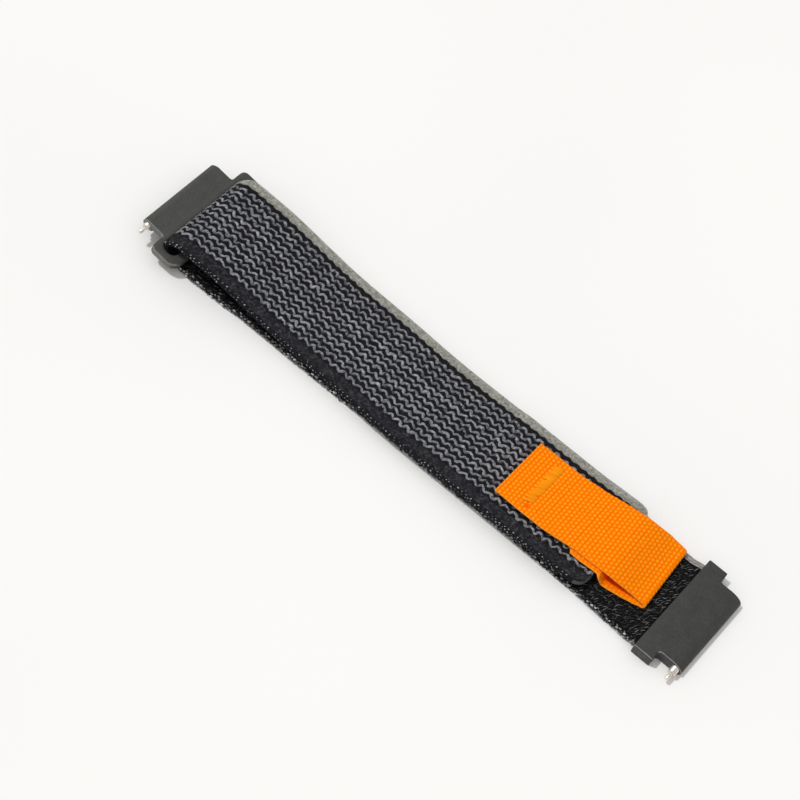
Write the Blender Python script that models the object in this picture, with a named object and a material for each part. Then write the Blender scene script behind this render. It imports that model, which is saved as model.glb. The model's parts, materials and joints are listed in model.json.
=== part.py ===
"""Hook and loop watch strap with a ring buckle, a pull tab and quick-release spring bars.

The strap lies folded on a table: +X runs along it from the ring buckle to the fixed
connector, +Y is across it and +Z is up. The origin is under the middle of its outline.
All sizes are in metres.
"""

import math

import bmesh
import bpy
from mathutils import Matrix, Vector

# Whole strap and the watch it fits
STRAP_LENGTH = 0.1441
LUG_GAP = 0.0220
LUG_PLAY = 0.0002

# Webbing
WEB_WIDTH = 0.0244
WEB_THICK = 0.00165
WEB_EDGE_SHARE = 0.3
WEB_EDGE_STEPS = 3
LAYER_GAP = 0.00005
SEAM_GAP = 0.0001

# Loop of webbing round the buckle's bar
LOOP_HEIGHT = 0.0074
LOOP_OFFSET = -0.0003
FREE_BEND = 0.0068
FALL_LENGTH = 0.0312

# Flap that folds back over the base
FLAP_SETBACK = 0.01566
FLAP_TIP_RADIUS = 0.0030

# Hook patch under the flap's tip
HOOK_LENGTH = 0.0300
HOOK_THICK = 0.00045
HOOK_MARGIN = 0.0006
HOOK_RAMP = 0.0050

# Pull tab, a folded length of thin webbing
TAB_LENGTH = 0.0372
TAB_WIDTH = 0.0162
TAB_THICK = 0.0006
TAB_LAYER_GAP = 0.00015
TAB_SEWN = 0.0084
TAB_SETBACK = 0.0254
TAB_SIDE_OFFSET = 0.00065
TAB_YAW_DEG = 3.9
TAB_FOLD_HEIGHT = 0.00125
TAB_HUMP = 0.0004
TAB_DROP_START = 0.0009
TAB_DROP_LENGTH = 0.0030

# Bar tack that sews the tab down
TACK_LENGTH = 0.0096
TACK_WIDTH = 0.0024
TACK_HEIGHT = 0.0003
TACK_FROM_BACK = 0.0059
TACK_STITCHES = 14
TACK_RIDGE_SHARES = ((0.1, 0.65), (0.5, 1.0), (0.9, 0.65))

# Ring buckle
BUCKLE_REACH = 0.01155
BUCKLE_TILT_DEG = -8.5
RING_WALL = 0.0020
RING_LENGTH = 0.0070
RING_THICK = 0.0016
RING_BAR = 0.0021
RING_HEIGHT = 0.00375
RING_CORNER = 0.0013
RING_BACK_CORNER = 0.0025
RING_EDGE = 0.0003
SLOT_LENGTH = 0.00365
SLOT_SIDE_PLAY = 0.0006
SLOT_END_ROUND = 0.0015
PLATE_THICK = 0.0012
PLATE_END_WALL = 0.0010
NOTCH_FILLET = 0.0006
METAL_EDGE = 0.0002

# Lug barrels that hold the spring bars
BARREL_DIA = 0.0030
BARREL_EDGE = 0.00035
BARREL_PROUD = 0.00002
BORE_PLAY = 0.00006

# Fixed connector
FIXED_HEIGHT = 0.0029
FIXED_WALL = 0.0011
FIXED_WIDE_DEPTH = 0.0045
FIXED_LUG_DEPTH = 0.0059
NOSE_LENGTH = 0.0030
NOSE_DROP = 0.0019
POCKET_FLOOR = 0.00062
POCKET_DEPTH = 0.0038
POCKET_PLAY = 0.0001
POCKET_RAMP = 0.0030

# Pins that hold the webbing in the fixed connector
GRIP_PIN_DIA = 0.0010
GRIP_PIN_PITCH = 0.0080
GRIP_PIN_COUNT = 3
GRIP_PIN_PLAY = 0.00005
GRIP_PIN_RECESS = 0.00015

# Quick-release spring bars
BAR_DIA = 0.0018
BAR_LENGTH = 0.0206
BAR_WALL = 0.00025
BAR_LIP = 0.0005
TIP_DIA = 0.0009
TIP_REACH = 0.0018
TIP_PLAY = 0.00005
HEAD_LENGTH = 0.0016
RELEASE_HEAD_LENGTH = 0.0034
TIP_ROUND = 0.0002
BUCKLE_BAR_SHIFT = -0.0012
FIXED_BAR_SHIFT = -0.0020

# Release knobs and the slots they slide in
KNOB_DIA = 0.0012
KNOB_STEM_DIA = 0.0006
KNOB_HEAD = 0.0006
KNOB_REACH = 0.0025
KNOB_SEAT = 0.00025
KNOB_PLACE_SHARE = 0.6
KNOB_PLAY = 0.0001
BUCKLE_KNOB_DEG = 30.0
FIXED_KNOB_DEG = 165.0
RELEASE_TRAVEL = 0.0017
FLOAT_ROOM = 0.0021

# Springs inside the bars
WIRE_DIA = 0.00018
COIL_PLAY = 0.00008
COIL_TURNS = 13
COIL_STEPS = 12
WIRE_SIDES = 5

# Overrun of a cutter past what it cuts
CUT_OVERRUN = 0.0010

# Facets of round pieces
ROUND_STEPS = 32
SMALL_STEPS = 24
ARC_STEPS = 6


# Sizes worked out from the ones above
LUG_WIDTH = LUG_GAP - 2 * LUG_PLAY
BARREL_RADIUS = BARREL_DIA / 2
BORE_RADIUS = BAR_DIA / 2 + BORE_PLAY
LOOP_RADIUS = LOOP_HEIGHT / 2
TILT = math.radians(BUCKLE_TILT_DEG)
PLATE_TOP = RING_THICK / 2
PIVOT_Z = RING_HEIGHT - RING_THICK / 2

BUCKLE_BARREL_X = BARREL_RADIUS - BUCKLE_REACH
BUCKLE_BARREL_Z = PLATE_TOP + BARREL_PROUD - BARREL_RADIUS
PIVOT_X = (
    -STRAP_LENGTH / 2
    + BARREL_RADIUS
    - BUCKLE_BARREL_X * math.cos(TILT)
    + BUCKLE_BARREL_Z * math.sin(TILT)
)
LOOP_X = PIVOT_X + LOOP_OFFSET
LOOP_Z = LOOP_RADIUS

FLAP_START_X = LOOP_X + FREE_BEND
BASE_TOP = WEB_THICK
FLAP_REST = BASE_TOP + LAYER_GAP
FLAP_ON_HOOK = FLAP_REST + HOOK_THICK + LAYER_GAP

FIXED_OUTER_X = STRAP_LENGTH / 2
FIXED_STEP_X = FIXED_OUTER_X - FIXED_LUG_DEPTH
FIXED_INNER_X = FIXED_STEP_X - FIXED_WIDE_DEPTH
FIXED_BARREL_X = FIXED_OUTER_X - BARREL_RADIUS
FIXED_BARREL_Z = FIXED_HEIGHT / 2
POCKET_END_X = FIXED_INNER_X + POCKET_DEPTH
FLAP_TIP_X = FIXED_INNER_X - FLAP_SETBACK
HOOK_START_X = FLAP_TIP_X - HOOK_LENGTH

SLOT_HALF = WEB_WIDTH / 2 + SLOT_SIDE_PLAY
RING_HALF = SLOT_HALF + RING_WALL
POCKET_HALF = WEB_WIDTH / 2 + POCKET_PLAY
FIXED_HALF = POCKET_HALF + FIXED_WALL

TAB_YAW = math.radians(TAB_YAW_DEG)
TAB_BACK_X = FLAP_TIP_X - TAB_SETBACK
TAB_STACK = 2 * TAB_THICK + TAB_LAYER_GAP
TAB_FLOOR = FLAP_ON_HOOK + WEB_THICK + LAYER_GAP
TAB_TOP = TAB_FLOOR + TAB_STACK


def clear_scene():
    """Remove every object that the file opens with."""
    for item in list(bpy.data.objects):
        bpy.data.objects.remove(item, do_unlink=True)


def finish(name, colour, roughness, metallic=0.0):
    """A Principled material with one colour, roughness and metallic value."""
    material = bpy.data.materials.new(name)
    material.use_nodes = True
    shader = material.node_tree.nodes["Principled BSDF"]
    shader.inputs["Base Color"].default_value = (*colour, 1.0)
    shader.inputs["Roughness"].default_value = roughness
    shader.inputs["Metallic"].default_value = metallic
    return material


def pivot(name, location, parent=None, turn=(0.0, 0.0, 0.0)):
    """An empty that carries the pieces turning or sliding about one axis."""
    empty = bpy.data.objects.new(name, None)
    bpy.context.scene.collection.objects.link(empty)
    empty.parent = parent
    empty.location = location
    empty.rotation_euler = turn
    return empty


def place(name, mesh_data, material, parent=None, location=(0.0, 0.0, 0.0)):
    """Turn a bmesh into a named object with its own material."""
    bmesh.ops.recalc_face_normals(mesh_data, faces=mesh_data.faces)
    if mesh_data.calc_volume(signed=True) < 0:
        bmesh.ops.reverse_faces(mesh_data, faces=mesh_data.faces)
    mesh = bpy.data.meshes.new(name)
    mesh_data.to_mesh(mesh)
    mesh_data.free()
    mesh.shade_smooth()
    mesh.set_sharp_from_angle(angle=math.radians(35.0))
    piece = bpy.data.objects.new(name, mesh)
    bpy.context.scene.collection.objects.link(piece)
    if material is not None:
        mesh.materials.append(material)
    piece.parent = parent
    piece.location = location
    return piece


def cutter(name, mesh_data, parent=None, location=(0.0, 0.0, 0.0)):
    """A guide shape that only cuts or adds to another piece."""
    guide = place(name, mesh_data, None, parent, location)
    guide.hide_render = True
    guide.display_type = "WIRE"
    return guide


def combine(piece, guide, operation):
    """Cut or add a guide with the exact solver."""
    modifier = piece.modifiers.new(guide.name, "BOOLEAN")
    modifier.operation = operation
    modifier.object = guide
    modifier.solver = "EXACT"


def soften(piece, width):
    """Round the sharp edges of a metal piece."""
    modifier = piece.modifiers.new("edges", "BEVEL")
    modifier.width = width
    modifier.segments = 2
    modifier.limit_method = "ANGLE"
    modifier.angle_limit = math.radians(50.0)


def arc(centre, radii, start_deg, end_deg, steps):
    """Points on an ellipse, from one angle to another."""
    points = []
    for step in range(steps + 1):
        angle = math.radians(start_deg + (end_deg - start_deg) * step / steps)
        across = centre[0] + radii[0] * math.cos(angle)
        up = centre[1] + radii[1] * math.sin(angle)
        points.append((across, up))
    return points


def rounded(corners, steps=ARC_STEPS):
    """An outline from corners (u, v, radius), each rounded with an arc."""
    points = []
    count = len(corners)
    for index, (u, v, radius) in enumerate(corners):
        here = Vector((u, v))
        if radius == 0:
            points.append(tuple(here))
            continue
        before = (Vector(corners[index - 1][:2]) - here).normalized()
        after = (Vector(corners[(index + 1) % count][:2]) - here).normalized()
        half = before.angle(after) / 2
        bisector = (before + after).normalized()
        centre = here + bisector * (radius / math.sin(half))
        start = here + before * (radius / math.tan(half)) - centre
        end = here + after * (radius / math.tan(half)) - centre
        for step in range(steps + 1):
            swing = start.slerp(end, step / steps)
            points.append(tuple(centre + swing * radius))
    return points


def prism(outline, low, high, along):
    """A closed solid: an outline drawn across one axis and extruded along it."""
    mesh_data = bmesh.new()
    if along == "Z":
        corners = [mesh_data.verts.new((u, v, low)) for u, v in outline]
        travel = Vector((0, 0, high - low))
    else:
        corners = [mesh_data.verts.new((u, low, v)) for u, v in outline]
        travel = Vector((0, high - low, 0))
    face = mesh_data.faces.new(corners)
    grown = bmesh.ops.extrude_face_region(mesh_data, geom=[face])
    moved = [part for part in grown["geom"] if isinstance(part, bmesh.types.BMVert)]
    bmesh.ops.translate(mesh_data, vec=travel, verts=moved)
    return mesh_data


def block(low, high):
    """A plain box between two corners."""
    outline = [
        (low[0], low[1]),
        (high[0], low[1]),
        (high[0], high[1]),
        (low[0], high[1]),
    ]
    return prism(outline, low[2], high[2], "Z")


def join_rings(mesh_data, rings, hollow):
    """A closed skin over rings of corners, capped at its ends or joined end to end."""
    pairs = list(zip(rings, rings[1:]))
    if hollow:
        pairs.append((rings[-1], rings[0]))
    else:
        mesh_data.faces.new(rings[0])
        mesh_data.faces.new(rings[-1])
    for first, second in pairs:
        for step in range(len(first)):
            following = (step + 1) % len(first)
            corners = (first[step], first[following], second[following], second[step])
            mesh_data.faces.new(corners)


def turned(profile, steps, hollow=False):
    """A round body about the Y axis from (y, radius) points, closed on itself if hollow."""
    mesh_data = bmesh.new()
    rings = []
    for along, radius in profile:
        ring = []
        for step in range(steps):
            angle = 2 * math.pi * step / steps
            spot = (radius * math.cos(angle), along, radius * math.sin(angle))
            ring.append(mesh_data.verts.new(spot))
        rings.append(ring)
    join_rings(mesh_data, rings, hollow)
    return mesh_data


def strip(path, width_at, thick, edge_share):
    """A length of webbing: a flat section with round edges, swept along a path in XZ."""
    mesh_data = bmesh.new()
    rings = []
    radius = thick * edge_share
    for index, (x, z) in enumerate(path):
        before = Vector(path[max(index - 1, 0)])
        after = Vector(path[min(index + 1, len(path) - 1)])
        run = (after - before).normalized()
        half_width = width_at(index) / 2
        half_thick = thick / 2
        section = rounded(
            [
                (-half_width, -half_thick, radius),
                (half_width, -half_thick, radius),
                (half_width, half_thick, radius),
                (-half_width, half_thick, radius),
            ],
            WEB_EDGE_STEPS,
        )
        ring = []
        for across, out in section:
            spot = (x - run.y * out, across, z + run.x * out)
            ring.append(mesh_data.verts.new(spot))
        rings.append(ring)
    join_rings(mesh_data, rings, False)
    return mesh_data


def ease(share):
    """A smooth rise from 0 to 1."""
    share = min(max(share, 0.0), 1.0)
    return (1 - math.cos(math.pi * share)) / 2


def spread(start, end, count):
    """Evenly spaced places from start to end."""
    return [start + (end - start) * step / count for step in range(count + 1)]


def flap_floor(x):
    """Height of the flap's underside at x."""
    fall = 1 - ease((x - LOOP_X) / FALL_LENGTH)
    crown = LOOP_HEIGHT - WEB_THICK
    climb = ease((x - HOOK_START_X + HOOK_RAMP) / HOOK_RAMP)
    return FLAP_REST + (crown - FLAP_REST) * fall + (FLAP_ON_HOOK - FLAP_REST) * climb


def base_floor(x):
    """Height of the base's underside at x: on the table, then up into the pocket."""
    climb = ease((x - FIXED_INNER_X + POCKET_RAMP) / POCKET_RAMP)
    return (POCKET_FLOOR + POCKET_PLAY / 2) * climb


def tip_width(x, tip_x, width, radius):
    """Width of a piece whose end at tip_x has round corners."""
    into = min(max(x - (tip_x - radius), 0.0), radius)
    return width - 2 * (radius - math.sqrt(radius * radius - into * into))


def make_strap_base(material):
    """The run of webbing on the table, from under the loop into the pocket."""
    flat_end = FIXED_INNER_X - POCKET_RAMP
    places = spread(LOOP_X + SEAM_GAP, flat_end, 4)
    places += spread(flat_end, FIXED_INNER_X, 6)[1:]
    places.append(POCKET_END_X - POCKET_PLAY)
    path = [(x, base_floor(x) + WEB_THICK / 2) for x in places]
    shape = strip(path, lambda index: WEB_WIDTH, WEB_THICK, WEB_EDGE_SHARE)
    base = place("strap_base", shape, material)
    for number, spot in enumerate(grip_pin_places()):
        hole = cutter(f"base_hole_{number}", grip_pin_shape(GRIP_PIN_PLAY, -CUT_OVERRUN, FIXED_HEIGHT))
        hole.location = spot
        combine(base, hole, "DIFFERENCE")
    return base


def make_strap_bend(material):
    """The loose loop of webbing that goes up through the slot and back over the bar."""
    middle = LOOP_RADIUS - WEB_THICK / 2
    path = arc((LOOP_X, LOOP_Z), (middle, middle), 270.0, 90.0, 18)
    for x in spread(LOOP_X, FLAP_START_X - SEAM_GAP, 6)[1:]:
        path.append((x, flap_floor(x) + WEB_THICK / 2))
    shape = strip(path, lambda index: WEB_WIDTH, WEB_THICK, WEB_EDGE_SHARE)
    return place("strap_bend", shape, material)


def make_strap_flap(material, hinge, hinge_spot):
    """The run of webbing that folds back over the base, to its round-cornered tip."""
    corner_x = FLAP_TIP_X - FLAP_TIP_RADIUS
    places = spread(FLAP_START_X, LOOP_X + FALL_LENGTH, 14)
    places += spread(LOOP_X + FALL_LENGTH, HOOK_START_X - HOOK_RAMP, 3)[1:]
    places += spread(HOOK_START_X - HOOK_RAMP, HOOK_START_X, 5)[1:]
    places.append(corner_x)
    for angle in (25.0, 48.0, 66.0, 80.0):
        places.append(corner_x + FLAP_TIP_RADIUS * math.sin(math.radians(angle)))
    widths = [tip_width(x, FLAP_TIP_X, WEB_WIDTH, FLAP_TIP_RADIUS) for x in places]
    path = [(x - hinge_spot[0], flap_floor(x) + WEB_THICK / 2 - hinge_spot[2]) for x in places]
    shape = strip(path, lambda index: widths[index], WEB_THICK, WEB_EDGE_SHARE)
    return place("strap_flap", shape, material, hinge)


def make_hook_patch(material, hinge, hinge_spot):
    """The hook tape under the flap's tip, a little narrower than the webbing."""
    width = WEB_WIDTH - 2 * HOOK_MARGIN
    tip_x = FLAP_TIP_X - HOOK_MARGIN
    radius = FLAP_TIP_RADIUS - HOOK_MARGIN
    corner_x = tip_x - radius
    places = [HOOK_START_X, corner_x]
    for angle in (25.0, 48.0, 66.0, 80.0):
        places.append(corner_x + radius * math.sin(math.radians(angle)))
    widths = [tip_width(x, tip_x, width, radius) for x in places]
    middle = FLAP_REST + HOOK_THICK / 2
    path = [(x - hinge_spot[0], middle - hinge_spot[2]) for x in places]
    shape = strip(path, lambda index: widths[index], HOOK_THICK, WEB_EDGE_SHARE)
    return place("hook_patch", shape, material, hinge)


def tab_path():
    """Middle line of the tab's free loop, from its lower layer round to its upper one."""
    lower = TAB_FLOOR + TAB_THICK / 2
    upper = TAB_TOP - TAB_THICK / 2
    landed = BASE_TOP + LAYER_GAP + TAB_THICK / 2
    fold_radius = TAB_FOLD_HEIGHT / 2
    front = TAB_LENGTH - fold_radius - TAB_THICK / 2
    edge = TAB_SETBACK + TAB_DROP_START
    path = []
    for along in spread(TAB_SEWN + SEAM_GAP, edge, 4):
        path.append((along, lower))
    for along in spread(edge, edge + TAB_DROP_LENGTH, 6)[1:]:
        drop = ease((along - edge) / TAB_DROP_LENGTH)
        path.append((along, lower + (landed - lower) * drop))
    for along in spread(edge + TAB_DROP_LENGTH, front, 2)[1:]:
        path.append((along, landed))
    path += arc((front, landed + fold_radius), (fold_radius, fold_radius), -60.0, 60.0, 4)
    path.append((front, landed + TAB_FOLD_HEIGHT))
    top_of_fold = landed + TAB_FOLD_HEIGHT
    reach = front - (TAB_SEWN + SEAM_GAP)
    for along in spread(front, TAB_SEWN + SEAM_GAP, 18)[1:]:
        rise = (upper - top_of_fold) * ease((front - along) / (front - edge))
        hump = TAB_HUMP * math.sin(math.pi * (front - along) / reach)
        path.append((along, top_of_fold + rise + hump))
    return path


def make_pull_tab(material, hinge, seam_spot):
    """The free loop of the tab, hinged along its seam."""
    path = [(along - TAB_SEWN, z - seam_spot[2]) for along, z in tab_path()]
    shape = strip(path, lambda index: TAB_WIDTH, TAB_THICK, WEB_EDGE_SHARE)
    return place("pull_tab", shape, material, hinge)


def make_tab_sewn_end(material, seam, seam_spot):
    """The two layers of the tab that the bar tack sews to the flap."""
    middle = (TAB_FLOOR + TAB_TOP) / 2 - seam_spot[2]
    path = [(-TAB_SEWN, middle), (-SEAM_GAP, middle)]
    shape = strip(path, lambda index: TAB_WIDTH, TAB_STACK, WEB_EDGE_SHARE / 2)
    return place("tab_sewn_end", shape, material, seam)


def make_bar_tack(material, seam, seam_spot):
    """A dense row of stitches across the tab, one low ridge for each stitch."""
    low = TAB_TOP + LAYER_GAP - seam_spot[2]
    pitch = TACK_LENGTH / TACK_STITCHES
    middle = TACK_FROM_BACK - TAB_SEWN
    outline = [(-TACK_LENGTH / 2, low)]
    for stitch in range(TACK_STITCHES):
        start = -TACK_LENGTH / 2 + pitch * stitch
        for share, height_share in TACK_RIDGE_SHARES:
            outline.append((start + pitch * share, low + TACK_HEIGHT * height_share))
    outline.append((TACK_LENGTH / 2, low))
    shape = prism(outline, -TACK_WIDTH / 2, TACK_WIDTH / 2, "Y")
    bmesh.ops.rotate(shape, verts=shape.verts, matrix=Matrix.Rotation(math.pi / 2, 3, "Z"))
    bmesh.ops.translate(shape, verts=shape.verts, vec=(middle, 0, 0))
    return place("tab_bar_tack", shape, material, seam)


def release_span(bar_shift, widest, room):
    """Ends along Y of the slot that a release knob of some width slides in."""
    knob_y = knob_place(bar_shift)
    low = knob_y - RELEASE_TRAVEL - widest / 2 - KNOB_PLAY
    high = knob_y + room + widest / 2 + KNOB_PLAY
    return low, high


def release_window(bar_shift, depth, room, knob_deg):
    """Cutter for the slot that a knob's stem slides in, from the bar's axis outwards."""
    low, high = release_span(bar_shift, KNOB_STEM_DIA, room)
    half = KNOB_STEM_DIA / 2 + KNOB_PLAY
    shape = block((0, low, -half), (depth, high, half))
    turn = Matrix.Rotation(math.radians(knob_deg), 3, "Y")
    bmesh.ops.rotate(shape, verts=shape.verts, matrix=turn)
    return shape


def knob_place(bar_shift):
    """Place of a release knob along Y, at rest."""
    inside = BAR_LENGTH / 2 - BAR_LIP
    return bar_shift + inside - RELEASE_HEAD_LENGTH * KNOB_PLACE_SHARE


def bore_shape(radius):
    """Cutter for a bore right through a lug barrel."""
    half = LUG_WIDTH / 2 + CUT_OVERRUN
    return turned([(-half, radius), (half, radius)], ROUND_STEPS)


def buckle_outline():
    """Plan of the buckle: the plate between the lugs, notches, and the wider ring."""
    plate_y = LUG_WIDTH / 2
    ring_y = RING_HALF
    end_x = RING_BAR / 2
    notch_x = end_x - RING_LENGTH
    start_x = BUCKLE_BARREL_X - RING_EDGE
    return rounded(
        [
            (start_x, -plate_y, 0),
            (notch_x, -plate_y, NOTCH_FILLET),
            (notch_x, -ring_y, RING_CORNER),
            (end_x, -ring_y, RING_BACK_CORNER),
            (end_x, ring_y, RING_BACK_CORNER),
            (notch_x, ring_y, RING_CORNER),
            (notch_x, plate_y, NOTCH_FILLET),
            (start_x, plate_y, 0),
        ]
    )


def make_buckle(material, axis):
    """The ring buckle: ring, slot, plate and the barrel for its spring bar."""
    buckle = place("ring_buckle", prism(buckle_outline(), -PLATE_TOP, PLATE_TOP, "Z"), material, axis)
    slot_x = -RING_BAR / 2
    slot = cutter(
        "ring_slot",
        prism(
            rounded(
                [
                    (slot_x - SLOT_LENGTH, -SLOT_HALF, SLOT_END_ROUND),
                    (slot_x, -SLOT_HALF, SLOT_END_ROUND),
                    (slot_x, SLOT_HALF, SLOT_END_ROUND),
                    (slot_x - SLOT_LENGTH, SLOT_HALF, SLOT_END_ROUND),
                ]
            ),
            -RING_THICK,
            RING_THICK,
            "Z",
        ),
        axis,
    )
    combine(buckle, slot, "DIFFERENCE")
    soften(buckle, RING_EDGE)

    relief_x = RING_BAR / 2 - RING_LENGTH
    underside = PLATE_TOP - PLATE_THICK
    inside = LUG_WIDTH / 2 - PLATE_END_WALL
    relief = cutter(
        "plate_relief",
        block(
            (BUCKLE_BARREL_X - BARREL_DIA, -inside, -BARREL_DIA),
            (relief_x, inside, underside),
        ),
        axis,
    )
    combine(buckle, relief, "DIFFERENCE")

    half = LUG_WIDTH / 2
    barrel = cutter(
        "buckle_barrel",
        turned(
            [
                (-half, BARREL_RADIUS - BARREL_EDGE),
                (BARREL_EDGE - half, BARREL_RADIUS),
                (half - BARREL_EDGE, BARREL_RADIUS),
                (half, BARREL_RADIUS - BARREL_EDGE),
            ],
            ROUND_STEPS,
        ),
        axis,
        (BUCKLE_BARREL_X, 0, BUCKLE_BARREL_Z),
    )
    combine(buckle, barrel, "UNION")

    bore = cutter("buckle_bore", bore_shape(BORE_RADIUS), axis, (BUCKLE_BARREL_X, 0, BUCKLE_BARREL_Z))
    combine(buckle, bore, "DIFFERENCE")

    window = cutter(
        "buckle_window",
        release_window(BUCKLE_BAR_SHIFT, BARREL_DIA, FLOAT_ROOM, BUCKLE_KNOB_DEG),
        axis,
        (BUCKLE_BARREL_X, 0, BUCKLE_BARREL_Z),
    )
    combine(buckle, window, "DIFFERENCE")
    return buckle


def fixed_side_outline():
    """Side profile of the fixed connector, with its long rounded nose."""
    waist = FIXED_HEIGHT - NOSE_DROP
    top = arc((FIXED_OUTER_X - NOSE_LENGTH, waist), (NOSE_LENGTH, NOSE_DROP), 90.0, 0.0, 10)
    under = arc((FIXED_OUTER_X - waist, waist), (waist, waist), 0.0, -90.0, 6)
    return [(FIXED_INNER_X, 0), (FIXED_INNER_X, FIXED_HEIGHT)] + top + under[1:]


def fixed_outline():
    """Plan of the fixed connector: wide block, notches and lug part, open at both ends."""
    wide_y = FIXED_HALF
    lug_y = LUG_WIDTH / 2
    start_x = FIXED_INNER_X - CUT_OVERRUN
    end_x = FIXED_OUTER_X + CUT_OVERRUN
    return rounded(
        [
            (start_x, -wide_y, 0),
            (FIXED_STEP_X, -wide_y, METAL_EDGE),
            (FIXED_STEP_X, -lug_y, NOTCH_FILLET),
            (end_x, -lug_y, 0),
            (end_x, lug_y, 0),
            (FIXED_STEP_X, lug_y, NOTCH_FILLET),
            (FIXED_STEP_X, wide_y, METAL_EDGE),
            (start_x, wide_y, 0),
        ]
    )


def make_fixed_connector(material):
    """The connector that grips the base: pocket, lug part, bore and release recess."""
    half = FIXED_HALF + CUT_OVERRUN
    body = place("fixed_connector", prism(fixed_side_outline(), -half, half, "Y"), material)

    top = FIXED_HEIGHT + CUT_OVERRUN
    plan = cutter("fixed_plan", prism(fixed_outline(), -CUT_OVERRUN, top, "Z"))
    combine(body, plan, "INTERSECT")
    soften(body, METAL_EDGE)

    pocket = cutter(
        "webbing_pocket",
        block(
            (FIXED_INNER_X - CUT_OVERRUN, -POCKET_HALF, POCKET_FLOOR),
            (POCKET_END_X, POCKET_HALF, POCKET_FLOOR + WEB_THICK + POCKET_PLAY),
        ),
    )
    combine(body, pocket, "DIFFERENCE")

    axis_spot = (FIXED_BARREL_X, 0, FIXED_BARREL_Z)
    bore = cutter("fixed_bore", bore_shape(BORE_RADIUS), None, axis_spot)
    combine(body, bore, "DIFFERENCE")

    low, high = release_span(FIXED_BAR_SHIFT, KNOB_DIA, FLOAT_ROOM)
    deep_x = FIXED_BARREL_X - KNOB_REACH - 2 * KNOB_PLAY
    recess_top = FIXED_BARREL_Z + KNOB_STEM_DIA / 2 + KNOB_PLAY
    recess = cutter(
        "finger_recess",
        block((deep_x, low, -CUT_OVERRUN), (FIXED_BARREL_X, high, recess_top)),
    )
    combine(body, recess, "DIFFERENCE")

    inside = POCKET_FLOOR + WEB_THICK / 2
    for number, spot in enumerate(grip_pin_places()):
        hole = cutter(f"connector_hole_{number}", grip_pin_shape(GRIP_PIN_PLAY, -CUT_OVERRUN, inside))
        hole.location = spot
        combine(body, hole, "DIFFERENCE")
    return body


def grip_pin_places():
    """Foot of each pin that holds the webbing in its pocket."""
    x = FIXED_INNER_X + POCKET_DEPTH / 2
    middle = (GRIP_PIN_COUNT - 1) / 2
    return [(x, (number - middle) * GRIP_PIN_PITCH, 0) for number in range(GRIP_PIN_COUNT)]


def grip_pin_shape(play, foot, head):
    """An upright pin, or the hole for one, from its foot to its head."""
    radius = GRIP_PIN_DIA / 2 + play
    shape = turned([(foot, radius), (head, radius)], SMALL_STEPS)
    bmesh.ops.rotate(shape, verts=shape.verts, matrix=Matrix.Rotation(math.pi / 2, 3, "X"))
    return shape


def make_grip_pins(material):
    """The pins that go up through the webbing, from the connector's underside."""
    roof = POCKET_FLOOR + WEB_THICK + POCKET_PLAY
    for number, spot in enumerate(grip_pin_places(), 1):
        pin = grip_pin_shape(0, GRIP_PIN_RECESS, roof - LAYER_GAP)
        place(f"grip_pin_{number}", pin, material, None, spot)


def tube_profile():
    """Section of a spring bar's tube, with a lip rolled in at each end."""
    half = BAR_LENGTH / 2
    outer = BAR_DIA / 2
    inner = outer - BAR_WALL
    lip = TIP_DIA / 2 + TIP_PLAY
    return [
        (-half, lip),
        (-half, outer - TIP_ROUND),
        (TIP_ROUND - half, outer),
        (half - TIP_ROUND, outer),
        (half, outer - TIP_ROUND),
        (half, lip),
        (half - BAR_LIP, lip),
        (half - BAR_LIP, inner),
        (BAR_LIP - half, inner),
        (BAR_LIP - half, lip),
    ]


def tip_profile(head_length, side):
    """Section of a spring bar's tip: a retained head inside, a thin round-nosed end outside."""
    inside = BAR_LENGTH / 2 - BAR_LIP - TIP_PLAY
    end = BAR_LENGTH / 2 + TIP_REACH
    head = BAR_DIA / 2 - BAR_WALL - TIP_PLAY
    thin = TIP_DIA / 2
    points = [
        (inside - head_length, head),
        (inside, head),
        (inside, thin),
        (end - TIP_ROUND, thin),
        (end, thin - TIP_ROUND),
    ]
    return [(side * along, radius) for along, radius in points]


def make_release_tip(name, steel, axis, bar_shift, knob_deg):
    """The tip that the knob pulls in, with a seat drilled for the knob's stem."""
    shape = turned(tip_profile(RELEASE_HEAD_LENGTH, 1), SMALL_STEPS)
    tip = place(f"{name}_release_tip", shape, steel, axis, (0, bar_shift, 0))
    radius = KNOB_STEM_DIA / 2 + TIP_PLAY / 2
    start = KNOB_SEAT - TIP_PLAY
    drill = knob_turned([(start, radius), (BAR_DIA, radius)], knob_deg)
    seat = cutter(f"{name}_knob_seat", drill, axis, (0, knob_place(bar_shift), 0))
    combine(tip, seat, "DIFFERENCE")
    return tip


def knob_turned(profile, knob_deg):
    """A round body along the direction that a release knob points in."""
    shape = turned(profile, SMALL_STEPS)
    bmesh.ops.rotate(shape, verts=shape.verts, matrix=Matrix.Rotation(-math.pi / 2, 3, "Z"))
    turn = Matrix.Rotation(math.radians(knob_deg), 3, "Y")
    bmesh.ops.rotate(shape, verts=shape.verts, matrix=turn)
    return shape


def make_knob(name, steel, axis, bar_shift, knob_deg):
    """The mushroom-headed knob, pressed into the release tip."""
    stem = KNOB_STEM_DIA / 2
    head = KNOB_DIA / 2
    profile = [
        (KNOB_SEAT, stem),
        (KNOB_REACH - KNOB_HEAD, stem),
        (KNOB_REACH - KNOB_HEAD, head - TIP_ROUND),
        (KNOB_REACH - KNOB_HEAD + TIP_ROUND, head),
        (KNOB_REACH - TIP_ROUND, head),
        (KNOB_REACH, head - TIP_ROUND),
    ]
    shape = knob_turned(profile, knob_deg)
    return place(f"{name}_release_knob", shape, steel, axis, (0, knob_place(bar_shift), 0))


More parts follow.
